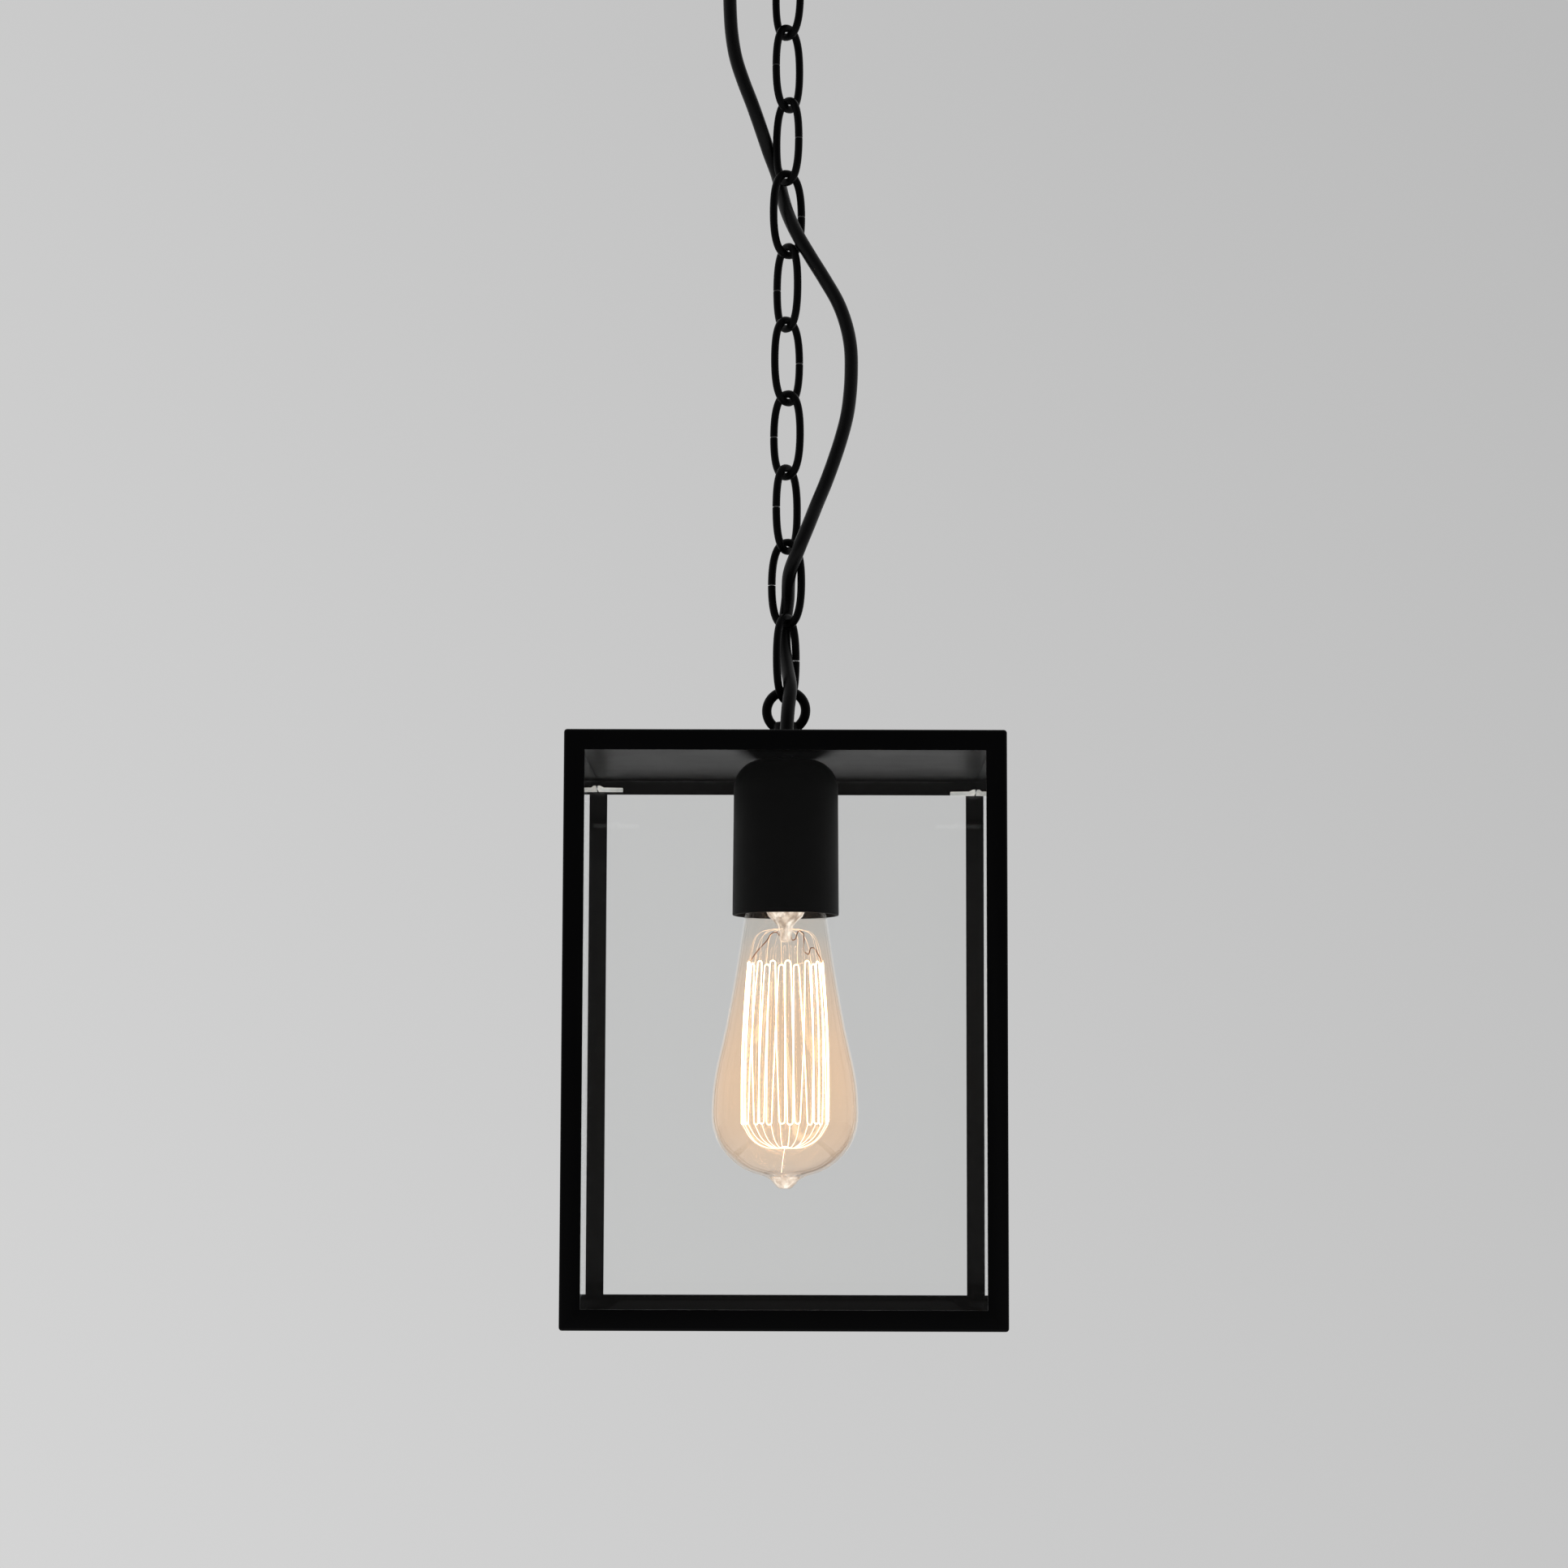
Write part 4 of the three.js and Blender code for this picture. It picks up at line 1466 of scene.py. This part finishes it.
@dataclass
class LanternBox:
    """The welded angle-steel frame, its top plate, the four panes and the corner clips."""

    steel: float = 1.2 * MM
    leg: float = 8.5 * MM
    edge: float = 1.3 * MM
    clip_elbow: float = 2.6 * MM
    clip_tip: float = 1.1 * MM
    sides: tuple[str, ...] = ("front", "right", "back", "left")
    corners: tuple[str, ...] = ("front_left", "front_right", "back_left", "back_right")

    def frame_nodes(self) -> list[str]:
        """The names of the twelve bars."""
        rails = [f"{level}_rail_{side}" for level in ("top", "bottom") for side in self.sides]
        return rails + [f"post_{corner}" for corner in self.corners]

    def frame(self) -> None:
        """Makes the frame from one box: windows cut in its six faces, rounded outer edges, a steel wall."""
        boxes = [extent(node) for node in self.frame_nodes()]
        low = Vector([min(b[0][i] for b in boxes) for i in range(3)])
        high = Vector([max(b[1][i] for b in boxes) for i in range(3)])
        piece = block("angle_frame", low, high)
        pick_faces(piece, lambda face: True)
        bpy.ops.mesh.inset(thickness=self.leg, use_individual=True, use_even_offset=True)
        bpy.ops.mesh.delete(type="FACE")
        put_down()
        grain = 0.01 * MM

        def outer(a: Vector, b: Vector) -> bool:
            """True for the box's own twelve edges."""
            shared = [
                axis
                for axis in range(3)
                for wall in (low[axis], high[axis])
                if abs(a[axis] - wall) < grain and abs(b[axis] - wall) < grain
            ]
            return len(shared) >= 2

        pick_edges(piece, outer)
        bpy.ops.mesh.bevel(offset=self.edge, segments=5, profile=0.5, affect="EDGES")
        put_down()
        modify(piece, "SOLIDIFY", thickness=self.steel, offset=-1, use_even_offset=True)
        soften(piece, 0.18 * MM, 2, 50)
        smooth(piece, 30)
        place(piece, POWDER_COAT, Body.LANTERN.value, *self.frame_nodes())

    def panes(self) -> None:
        """Makes the four panes, with their arrises taken off."""
        for side in self.sides:
            node = f"glass_{side}"
            low, high, _ = extent(node)
            piece = block(f"pane_{side}", low, high)
            soften(piece, 0.35 * MM, 1)
            place(piece, PANE_GLASS, Body.LANTERN.value, node)

    def clips(self) -> None:
        """Makes the small moulded clips inside the top corners."""
        for corner in self.corners:
            node = f"corner_clip_{corner}"
            low, high, middle = extent(node)
            piece = block(f"clip_{corner}", low, high)
            way = Vector((math.copysign(1, middle.x), math.copysign(1, middle.y)))
            outer = Vector((high.x if way.x > 0 else low.x, high.y if way.y > 0 else low.y))
            for axis in (0, 1):
                cut_at = outer[axis] - way[axis] * self.clip_elbow
                pick_faces(piece, lambda face: True)
                co = [0.0, 0.0, 0.0]
                no = [0.0, 0.0, 0.0]
                co[axis], no[axis] = cut_at, 1.0
                bpy.ops.mesh.bisect(plane_co=co, plane_no=no)
                put_down()
            pick_faces(
                piece,
                lambda face: all(
                    (face.center[i] - (outer[i] - way[i] * self.clip_elbow)) * way[i] < 0.0 for i in (0, 1)
                ),
            )
            bpy.ops.mesh.delete(type="FACE")
            bpy.ops.mesh.select_mode(type="EDGE")
            bpy.ops.mesh.select_all(action="DESELECT")
            bpy.ops.mesh.select_non_manifold(extend=False)
            bpy.ops.mesh.bridge_edge_loops()
            put_down()
            for corner_point in piece.data.vertices:
                for i in (0, 1):
                    other = 1 - i
                    far = abs(corner_point.co[i] - outer[i]) > 10 * MM
                    if far and abs(corner_point.co[other] - outer[other]) > 2 * MM:
                        corner_point.co[other] = outer[other] - way[other] * self.clip_tip
            tidy_mesh(piece)
            soften(piece, 0.2 * MM, 2)
            smooth(piece)
            place(piece, CLIP_PLASTIC, Body.LANTERN.value, node)

    def build(self) -> None:
        """Makes the box. Its top plate is flat sheet, so the CAD plate stays."""
        self.frame()
        self.panes()
        self.clips()
        POWDER_COAT.on(frame["nodes"]["top_plate"])


# ---------------------------------------------------------------------------------------------------------
# Lampholder
# ---------------------------------------------------------------------------------------------------------


@dataclass
class Lampholder:
    """The domed cover, the porcelain body inside it, the screw shell and the centre contact."""

    wall: float = 1.6 * MM
    dome_flat: float = 9.8 * MM
    dome_height: float = 12.5 * MM
    waist: float = 22.4 * MM
    hole: float = 5.3 * MM
    rim_round: float = 0.5 * MM
    thread_pitch: float = 3.63 * MM
    thread_depth: float = 0.8 * MM

    def cover(self) -> None:
        """Turns the cover: a flat crown, an elliptical shoulder and a slightly flared skirt."""
        low, high, _ = extent("holder_cover")
        rim = high.x
        shoulder = high.z - self.dome_height
        reach = self.waist - self.dome_flat
        outside = arc((self.dome_flat, shoulder), (reach, self.dome_height), 0, 90, 16)
        inside = arc((self.dome_flat, shoulder), (reach - self.wall, self.dome_height - self.wall), 90, 0, 12)
        lip = self.rim_round
        outline = [
            *arc((rim - lip, low.z + lip), (lip, lip), -90, 0, 4),
            *outside,
            (self.hole, high.z),
            (self.hole, high.z - self.wall),
            *inside,
            *arc((rim - self.wall + lip, low.z + lip), (lip, lip), 180, 270, 4),
            (rim - lip, low.z),
        ]
        piece = turned("holder_shell", outline, 128)
        place(piece, HOLDER_PLASTIC, Body.LANTERN.value, "holder_cover")

    def body(self) -> None:
        """Turns the porcelain body, with rounded shoulders and a socket for the screw shell."""
        low, high, _ = extent("holder_body")
        outer, socket, stem = high.x, 15.4 * MM, 5.2 * MM
        floor, seat = low.z + 30 * MM, low.z + 40 * MM
        outline = [
            (0, seat),
            (stem, seat),
            (stem, high.z),
            *arc((15.5 * MM, high.z - 4.5 * MM), (4.5 * MM, 4.5 * MM), 90, 0, 8),
            *arc((outer - 1 * MM, low.z + 1 * MM), (1 * MM, 1 * MM), 0, -90, 5),
            *arc((socket + 0.8 * MM, low.z + 0.8 * MM), (0.8 * MM, 0.8 * MM), 270, 180, 5),
            (socket, floor),
            (0, floor),
        ]
        place(turned("holder_porcelain", outline, 96), PORCELAIN, Body.LANTERN.value, "holder_body")

    def shell(self) -> None:
        """Turns the rolled screw shell."""
        low, high, _ = extent("screw_shell")
        outer = high.x
        mean = outer - 1.3 * MM
        turns = round((high.z - low.z) / self.thread_pitch)
        steps = 10 * turns
        wave = [
            (
                mean + self.thread_depth / 2 * math.cos(FULL_TURN * turns * i / steps),
                low.z + (high.z - low.z) * i / steps,
            )
            for i in range(steps + 1)
        ]
        outline = [*wave, (outer, high.z), (outer, low.z), wave[0]]
        place(turned("holder_screw_shell", outline, 72), BRASS, Body.LANTERN.value, "screw_shell")

    def contact(self) -> None:
        """Makes the sprung centre contact: a bent strip with a pressed dimple."""
        low, high, middle = extent("centre_contact")
        strip = block("holder_contact", Vector((low.x, low.y, high.z - 0.6 * MM)), high)
        soften(strip, 0.2 * MM, 2)
        lid = high.z - 0.3 * MM
        hollow = [(0, low.z), *arc((0, lid), (3 * MM, lid - low.z), -80, 0, 8), (0, lid)]
        dimple = turned("holder_contact_dimple", hollow, 32, (middle.x, middle.y))
        piece = combine(strip, dimple, "UNION")
        smooth(piece)
        place(piece, BRASS, Body.LANTERN.value, "centre_contact")

    def build(self) -> None:
        """Makes the whole lampholder."""
        self.cover()
        self.body()
        self.shell()
        self.contact()


# ---------------------------------------------------------------------------------------------------------
# Lamp
# ---------------------------------------------------------------------------------------------------------


@dataclass
class FilamentLamp:
    """The pear-shaped lamp: envelope, screw cap, stem, caged filament and its wires."""

    wall: float = 0.8 * MM
    strands: int = 28
    strand_radius: float = 0.21 * MM
    hairpin: float = 1.2 * MM
    stagger: float = 0.25
    wander: float = 0.12
    light_watts: float = 0.35
    light_radius: float = 14 * MM
    cage_top_radius: float = 16.2 * MM
    cage_bottom_radius: float = 18.6 * MM
    cage_swell: float = 0.9 * MM
    thread_pitch: float = 3.63 * MM

    def floor(self) -> float:
        """The height of the envelope's lowest point."""
        return extent("lamp_envelope")[0].z

    def envelope(self) -> None:
        """Turns the envelope, with the sealed tip at its lowest point."""
        base = self.floor()
        tip = [(0.0, 0.0), (2.4, 0.1), (3.4, 0.7), (4.3, 1.7), (5.2, 2.8), (6.2, 3.8), (7.4, 4.6)]
        sides = [
            (9.5, 5.5), (14, 6.8), (18.2, 8.7), (21.8, 11.3), (24.9, 14.3), (27.4, 17.6), (29.3, 21.2),
            (30.6, 25.2), (31.2, 29.3), (31.3, 32.7), (31.1, 37.5), (30.7, 43), (29.9, 48.5), (28.8, 54),
            (27.4, 60), (25.6, 68), (23.9, 77), (22.3, 86), (20.8, 95), (19.4, 104), (18.2, 112), (17.6, 116),
            (16.7, 118.8), (15, 121), (12.6, 122.1), (11.4, 122.8), (11.4, 129.9),
        ]
        outer = [(r * MM, base + z * MM) for r, z in tip + sides]
        inner = [(max(r * MM - self.wall, 0), base + z * MM + (self.wall if z < 26 else 0)) for r, z in sides]
        outline = [*outer, *reversed(inner), (0.0, base + 5.5 * MM)]
        piece = turned("lamp_envelope_glass", outline, 128)
        smooth(piece, 50)
        place(piece, LAMP_GLASS, Body.LAMP.value, "lamp_envelope")
        inset = 0.25 * MM
        bead = [(max(r * MM - inset, 0), base + z * MM + inset) for r, z in tip]
        bead += [(4.6 * MM, base + 5.5 * MM), (2.2 * MM, base + 6.0 * MM), (0.0, base + 6.2 * MM)]
        place(turned("lamp_seal_bead", bead, 40), STEM_GLASS, Body.LAMP.value, "lamp_envelope")

    def cap(self) -> None:
        """Turns the screw cap with its rolled thread, the black insulator and the solder contact."""
        low, high, _ = extent("lamp_cap")
        outer, sheet = high.x, 0.5 * MM
        start = low.z + 2.2 * MM
        turns, per_turn = 4, 12
        rise = self.thread_pitch * turns
        wave = [
            (
                outer - 0.45 * MM + 0.42 * MM * math.cos(FULL_TURN * i / per_turn),
                start + self.thread_pitch * i / per_turn,
            )
            for i in range(turns * per_turn + 1)
        ]
        crown = [(outer - 0.7 * MM, start + rise + 0.6 * MM), (9.2 * MM, high.z)]
        outline = [
            (outer, low.z),
            (outer, start - 0.4 * MM),
            *wave,
            *crown,
            (9.2 * MM - sheet, high.z - 0.3 * MM),
            (outer - 1.4 * MM, start + rise),
            (outer - 1.4 * MM, low.z),
            (outer, low.z),
        ]
        place(turned("lamp_screw_cap", outline, 72), BRASS, Body.LAMP.value, "lamp_cap")
        low, high, _ = extent("cap_insulator")
        rim = high.x
        outline = [
            (0, low.z),
            (rim, low.z),
            (rim, low.z + 2.4 * MM),
            *arc((rim + 1.2 * MM, high.z), (4.6 * MM, 3.2 * MM), 265, 185, 8),
            (4.2 * MM, high.z),
            (0, high.z),
        ]
        place(turned("lamp_cap_insulator", outline, 64), CAP_GLASS, Body.LAMP.value, "cap_insulator")
        low, high, _ = extent("cap_contact")
        outline = [(0, low.z), (high.x, low.z), *arc((0, low.z), (high.x, high.z - low.z), 8, 90, 10)]
        place(turned("lamp_cap_contact", outline, 48), SOLDER, Body.LAMP.value, "cap_contact")

    def stem(self) -> None:
        """Turns the flared stem, with a rounded lower end where the pinch and the bead are."""
        low, high, _ = extent("glass_stem")
        outline = [
            (0, low.z),
            *arc((0, low.z + 1.9 * MM), (3.0 * MM, 1.9 * MM), -75, 0, 6),
            (2.7 * MM, low.z + 3.6 * MM),
            (3.3 * MM, low.z + 5.0 * MM),
            (3.4 * MM, low.z + 7.0 * MM),
            (5.0 * MM, low.z + 9.0 * MM),
            (7.2 * MM, low.z + 11.0 * MM),
            (8.7 * MM, low.z + 14.0 * MM),
            (9.4 * MM, low.z + 19.0 * MM),
            (high.x, high.z - 1.4 * MM),
            (high.x, high.z),
            (0, high.z),
        ]
        place(turned("lamp_stem", outline, 48), STEM_GLASS, Body.LAMP.value, "glass_stem")

    def cage_radius(self, share: float) -> float:
        """The cage's radius, from 0 at its top to 1 at its bottom."""
        straight = self.cage_top_radius + (self.cage_bottom_radius - self.cage_top_radius) * share
        return straight + self.cage_swell * math.sin(math.pi * share)

    def at(self, radius: float, turn: float, height: float) -> Point:
        """A point by its distance from the lamp's axis, its turn in radians and its height."""
        return (radius * math.cos(turn), radius * math.sin(turn), height)

    def filament(self) -> None:
        """Bends the one long filament up and down round its cage, with a narrow hairpin at each hook."""
        low, high, _ = extent("filament")
        top, bottom = high.z - self.hairpin, low.z + self.hairpin
        hooks = self.strands // 2
        pitch = FULL_TURN / hooks
        run: list[Point] = []
        for i in range(hooks):
            wander = self.wander * pitch * math.sin(2.1 * i)
            below = (i + self.stagger) * pitch + wander
            above = (i + self.stagger + 0.5) * pitch - wander
            onward = self.wander * pitch * math.sin(2.1 * (i + 1))
            following = (i + self.stagger + 1) * pitch + onward
            side_low = self.hairpin / self.cage_bottom_radius
            side_high = self.hairpin / self.cage_top_radius
            run += self.strand(below + side_low, bottom, above - side_high, top)
            run += self.hairpin_bend(above, self.cage_top_radius, top, 1)
            run += self.strand(above + side_high, top, following - side_low, bottom)
            if i < hooks - 1:
                run += self.hairpin_bend(following, self.cage_bottom_radius, bottom, -1)
        piece = wires("lamp_filament", [run], self.strand_radius, 2, 1)
        place(piece, HOT_WIRE, Body.LAMP.value, "filament")

    def strand(self, turn_a: float, height_a: float, turn_b: float, height_b: float) -> list[Point]:
        """One long run between the cage's two ends, bowed out a little.

        Args:
            turn_a: the turn at its start, in radians.
            height_a: the height at its start.
            turn_b: the turn at its end.
            height_b: the height at its end.

        Returns:
            Points along it.
        """
        steps = 6
        top, bottom = max(height_a, height_b), min(height_a, height_b)
        run = []
        for i in range(steps + 1):
            share = i / steps
            height = height_a + (height_b - height_a) * share
            turn = turn_a + (turn_b - turn_a) * share
            run.append(self.at(self.cage_radius((top - height) / (top - bottom)), turn, height))
        return run

    def hairpin_bend(self, turn: float, radius: float, height: float, way: int) -> list[Point]:
        """The half circle over a hook.

        Args:
            turn: the hook's turn, in radians.
            radius: its distance from the lamp's axis.
            height: the height of the bend's two ends.
            way: 1 for a bend at the top, -1 at the bottom.

        Returns:
            Points along it, both ends left out.
        """
        steps = 7
        run = []
        for i in range(1, steps):
            angle = math.pi * (1 - i / steps)
            aside = self.hairpin * math.cos(angle) / radius
            run.append(self.at(radius, turn + aside, height + way * self.hairpin * math.sin(angle)))
        return run

    def supports(self) -> None:
        """Bends the hooks that carry the filament, from the stem above and from a bead below."""
        high = extent("upper_supports")[1]
        top, bottom = extent("filament")[1].z, extent("filament")[0].z
        count = self.strands // 2
        pitch = FULL_TURN / count
        root = high.z - 0.4 * MM
        runs = []
        for i in range(count):
            turn = (i + self.stagger + 0.5) * pitch
            bow = 0.3 * math.sin(2.3 * i)
            reach = self.cage_top_radius
            runs.append(
                [
                    self.at(3.2 * MM, turn, root),
                    self.at(7.5 * MM, turn + 0.2 * bow, root - 0.2 * MM),
                    self.at(12.0 * MM, turn + 0.3 * bow, root - 2.2 * MM),
                    self.at(reach - 1.8 * MM, turn + 0.1 * bow, top + 7.0 * MM),
                    self.at(reach - 0.8 * MM, turn, top + 1.6 * MM),
                    self.at(reach - 0.1 * MM, turn, top - 0.5 * MM),
                ]
            )
        # Painted light: the upper hooks glow with emission that stands for the filament's light on them.
        place(wires("lamp_upper_hooks", runs, 0.11 * MM, 1, 5), SUPPORT_WIRE_PAINTED_GLOW, Body.LAMP.value, "upper_supports")
        knot = extent("lower_supports")[0].z + 1.3 * MM
        runs = []
        for i in range(count):
            turn = (i + self.stagger) * pitch
            sag = 0.5 * MM * math.sin(1.7 * i)
            runs.append(
                [
                    self.at(0.3 * MM, turn, knot + 0.2 * MM),
                    self.at(4.0 * MM, turn, knot - 0.6 * MM),
                    self.at(9.5 * MM, turn, knot + 0.5 * MM + sag),
                    self.at(14.4 * MM, turn, knot + 3.6 * MM + sag),
                    self.at(17.5 * MM, turn, knot + 8.2 * MM),
                    self.at(self.cage_bottom_radius, turn, bottom + 0.5 * MM),
                ]
            )
        floor = self.floor()
        tail = [(0, 0, knot), (-0.7 * MM, 0, knot - 4 * MM), (-1.5 * MM, 0, floor + 6.8 * MM)]
        hooks = wires("lamp_lower_hooks", [*runs, tail], 0.14 * MM, 1, 5)
        # Painted light: the lower hooks glow with emission that stands for the filament's light on them.
        place(hooks, HOOK_WIRE_PAINTED_GLOW, Body.LAMP.value, "lower_supports")

    def leads(self) -> None:
        """Bends the two copper leads that run from the stem to the filament's ends."""
        base = self.floor()
        right = [
            (2.3, 107.6), (3.3, 105.9), (6.2, 110.0), (9.5, 99.8), (11.2, 102.7), (14.4, 99.0), (16.0, 95.6),
        ]
        left = [(-2.3, 107.6), (-4.4, 109.4), (-8.6, 105.0), (-12.4, 100.8), (-15.8, 95.6)]
        runs = [[(x * MM, -0.06 * x * MM, base + z * MM) for x, z in lead] for lead in (right, left)]
        place(wires("lamp_leads", runs, 0.22 * MM, 2, 5), COPPER, Body.LAMP.value, "upper_supports")

    def light(self) -> None:
        """Adds the warm light that the filament casts on what is round it."""
        _, _, middle = extent("filament")
        clear_hands()
        bpy.ops.object.light_add(type="POINT", location=middle)
        light = bpy.context.object
        light.name = "filament_light"
        light.data.energy = self.light_watts
        light.data.color = (1.0, 0.62, 0.32)
        light.data.shadow_soft_size = self.light_radius
        for rays in ("visible_camera", "visible_glossy", "visible_transmission"):
            setattr(light, rays, False)
        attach(light, Body.LAMP.value)

    def build(self) -> None:
        """Makes the whole lamp."""
        self.envelope()
        self.cap()
        self.stem()
        self.filament()
        self.supports()
        self.leads()
        self.light()


# ---------------------------------------------------------------------------------------------------------
# Ceiling fitting
# ---------------------------------------------------------------------------------------------------------


@dataclass
class CeilingFitting:
    """The canopy, its two screws, the bracket behind it and the terminal block."""

    wall: float = 1.2 * MM
    bend: float = 5.0 * MM
    hole: float = 5.3 * MM
    cable_hole: float = 4.2 * MM
    screw_hole: float = 2.1 * MM

    def canopy(self) -> None:
        """Turns the pressed cup, and cuts its cable hole and screw holes."""
        low, high, _ = extent("canopy")
        outer, floor, rim = high.x, low.z, high.z
        bend, wall = self.bend, self.wall
        edge = outer - bend
        outline = [
            (self.hole, floor),
            *arc((edge, floor + bend), (bend, bend), -90, 0, 10),
            (outer, rim - 0.4 * MM),
            (outer - 0.4 * MM, rim),
            (outer - wall + 0.3 * MM, rim),
            (outer - wall, rim - 0.3 * MM),
            *arc((edge, floor + bend), (bend - wall, bend - wall), 0, -90, 8),
            (self.hole, floor + wall),
            (self.hole, floor),
        ]
        piece = turned("canopy_cup", outline, 128)
        _, _, grip = extent("canopy_cord_grip")
        _, _, screw = extent("canopy_screw_left")
        bpy.ops.mesh.primitive_cylinder_add(
            vertices=40, radius=self.cable_hole, depth=8 * MM, location=(grip.x, grip.y, floor)
        )
        combine(piece, settle(label("cable_hole")), "DIFFERENCE")
        clear_hands()
        bpy.ops.mesh.primitive_cylinder_add(
            vertices=28,
            radius=self.screw_hole,
            depth=2.4 * outer,
            location=(0, 0, screw.z),
            rotation=(0, math.pi / 2, 0),
        )
        combine(piece, settle(label("screw_holes")), "DIFFERENCE")
        smooth(piece)
        place(piece, POWDER_COAT, Body.CEILING.value, "canopy")

    def screw(self, side: str) -> None:
        """Turns a pan-head screw and cuts its slot.

        Args:
            side: left or right.
        """
        node = f"canopy_screw_{side}"
        low, high, middle = extent(node)
        reach = high.x - low.x
        head = (high.z - low.z) / 2
        neck = reach - 1.9 * MM
        shank, pitch = 1.7 * MM, 0.7 * MM
        outline = [(0, 0), (shank - 0.5 * MM, 0)]
        for i in range(int(neck / pitch) - 1):
            outline += [(shank, (i + 0.7) * pitch), (shank - 0.3 * MM, (i + 1.2) * pitch)]
        outline += [(shank, neck), (head, neck), (head, neck + 0.5 * MM)]
        outline += [*arc((0, neck + 0.5 * MM), (head, 1.4 * MM), 8, 90, 8)]
        piece = turned(f"canopy_fixing_{side}", outline, 40)
        slot_low = Vector((-0.45 * MM, -2 * head, reach - 0.8 * MM))
        slot_high = Vector((0.45 * MM, 2 * head, reach + 1 * MM))
        combine(piece, block("slot_cutter", slot_low, slot_high), "DIFFERENCE")
        way = 1 if side == "right" else -1
        inner = low.x if way > 0 else high.x
        piece.rotation_euler = (0, way * math.pi / 2, 0)
        piece.location = (inner, 0, middle.z)
        smooth(settle(piece))
        place(piece, POWDER_COAT, Body.CEILING.value, node)

    def bracket(self) -> None:
        """Bends the strap that screws to the ceiling, with its end tabs and holes."""
        low, high, _ = extent("ceiling_bracket")
        sheet = 2 * MM
        piece = block("ceiling_strap", Vector((low.x, low.y, high.z - sheet)), high)
        for side in (-1, 1):
            inner = side * (high.x - sheet)
            outer = side * high.x
            tab_low = Vector((min(inner, outer), low.y, low.z))
            tab_high = Vector((max(inner, outer), high.y, high.z))
            combine(piece, block("tab", tab_low, tab_high), "UNION")
        holes = [((x, 0, high.z), (0, 0, 0), 2.5 * MM, 8 * MM) for x in (-28 * MM, 28 * MM)]
        screw = extent("canopy_screw_left")[2]
        holes.append(((0, 0, screw.z), (0, math.pi / 2, 0), self.screw_hole, 3 * high.x))
        soften(piece, 0.3 * MM, 2)
        for centre, turn, radius, depth in holes:
            clear_hands()
            bpy.ops.mesh.primitive_cylinder_add(
                vertices=32, radius=radius, depth=depth, location=centre, rotation=turn
            )
            combine(piece, settle(label("hole_cutter")), "DIFFERENCE")
        smooth(piece)
        place(piece, ZINC, Body.CEILING.value, "ceiling_bracket")

    def terminals(self) -> None:
        """Makes the three-way terminal block, with a raised clamp turret over each way."""
        low, high, middle = extent("terminal_block")
        piece = block("terminal_strip", low, Vector((high.x, high.y, high.z - 2.5 * MM)))
        soften(piece, 0.6 * MM, 3)
        ways = [-7 * MM, 0.0, 7 * MM]
        for x in ways:
            turret_outline = [
                (0, high.z - 4 * MM),
                (2.9 * MM, high.z - 4 * MM),
                (2.7 * MM, high.z - 0.3 * MM),
                (2.4 * MM, high.z),
                (1.7 * MM, high.z),
                (1.7 * MM, high.z - 2 * MM),
                (0, high.z - 2 * MM),
            ]
            combine(piece, turned("turret", turret_outline, 36, (x, middle.y)), "UNION")
        for x in ways:
            clear_hands()
            bpy.ops.mesh.primitive_cylinder_add(
                vertices=28,
                radius=1.6 * MM,
                depth=20 * MM,
                location=(x, middle.y, middle.z),
                rotation=(math.pi / 2, 0, 0),
            )
            combine(piece, settle(label("way_cutter")), "DIFFERENCE")
        smooth(piece)
        place(piece, TERMINAL_NYLON, Body.CEILING.value, "terminal_block")

    def build(self) -> None:
        """Makes the ceiling fitting."""
        self.canopy()
        for side in ("left", "right"):
            self.screw(side)
        self.bracket()
        self.terminals()


def main() -> None:
    """Builds the lantern from the camera and the cable to the ceiling."""
    logging.basicConfig(level=logging.INFO, format="%(name)s %(message)s")
    bpy.context.scene.view_settings.view_transform = "Standard"
    studio = Studio()
    studio.camera()
    cable = MainsCable()
    cable.build()
    cable.grips()
    for assembly in (LanternBox(), Lampholder(), FilamentLamp(), Chain(), HangingLoops(), CeilingFitting()):
        assembly.build()
        log.info("%s is built", type(assembly).__name__)
    studio.ground()
    studio.surroundings()
    studio.lights()


if __name__ == "__main__":
    main()
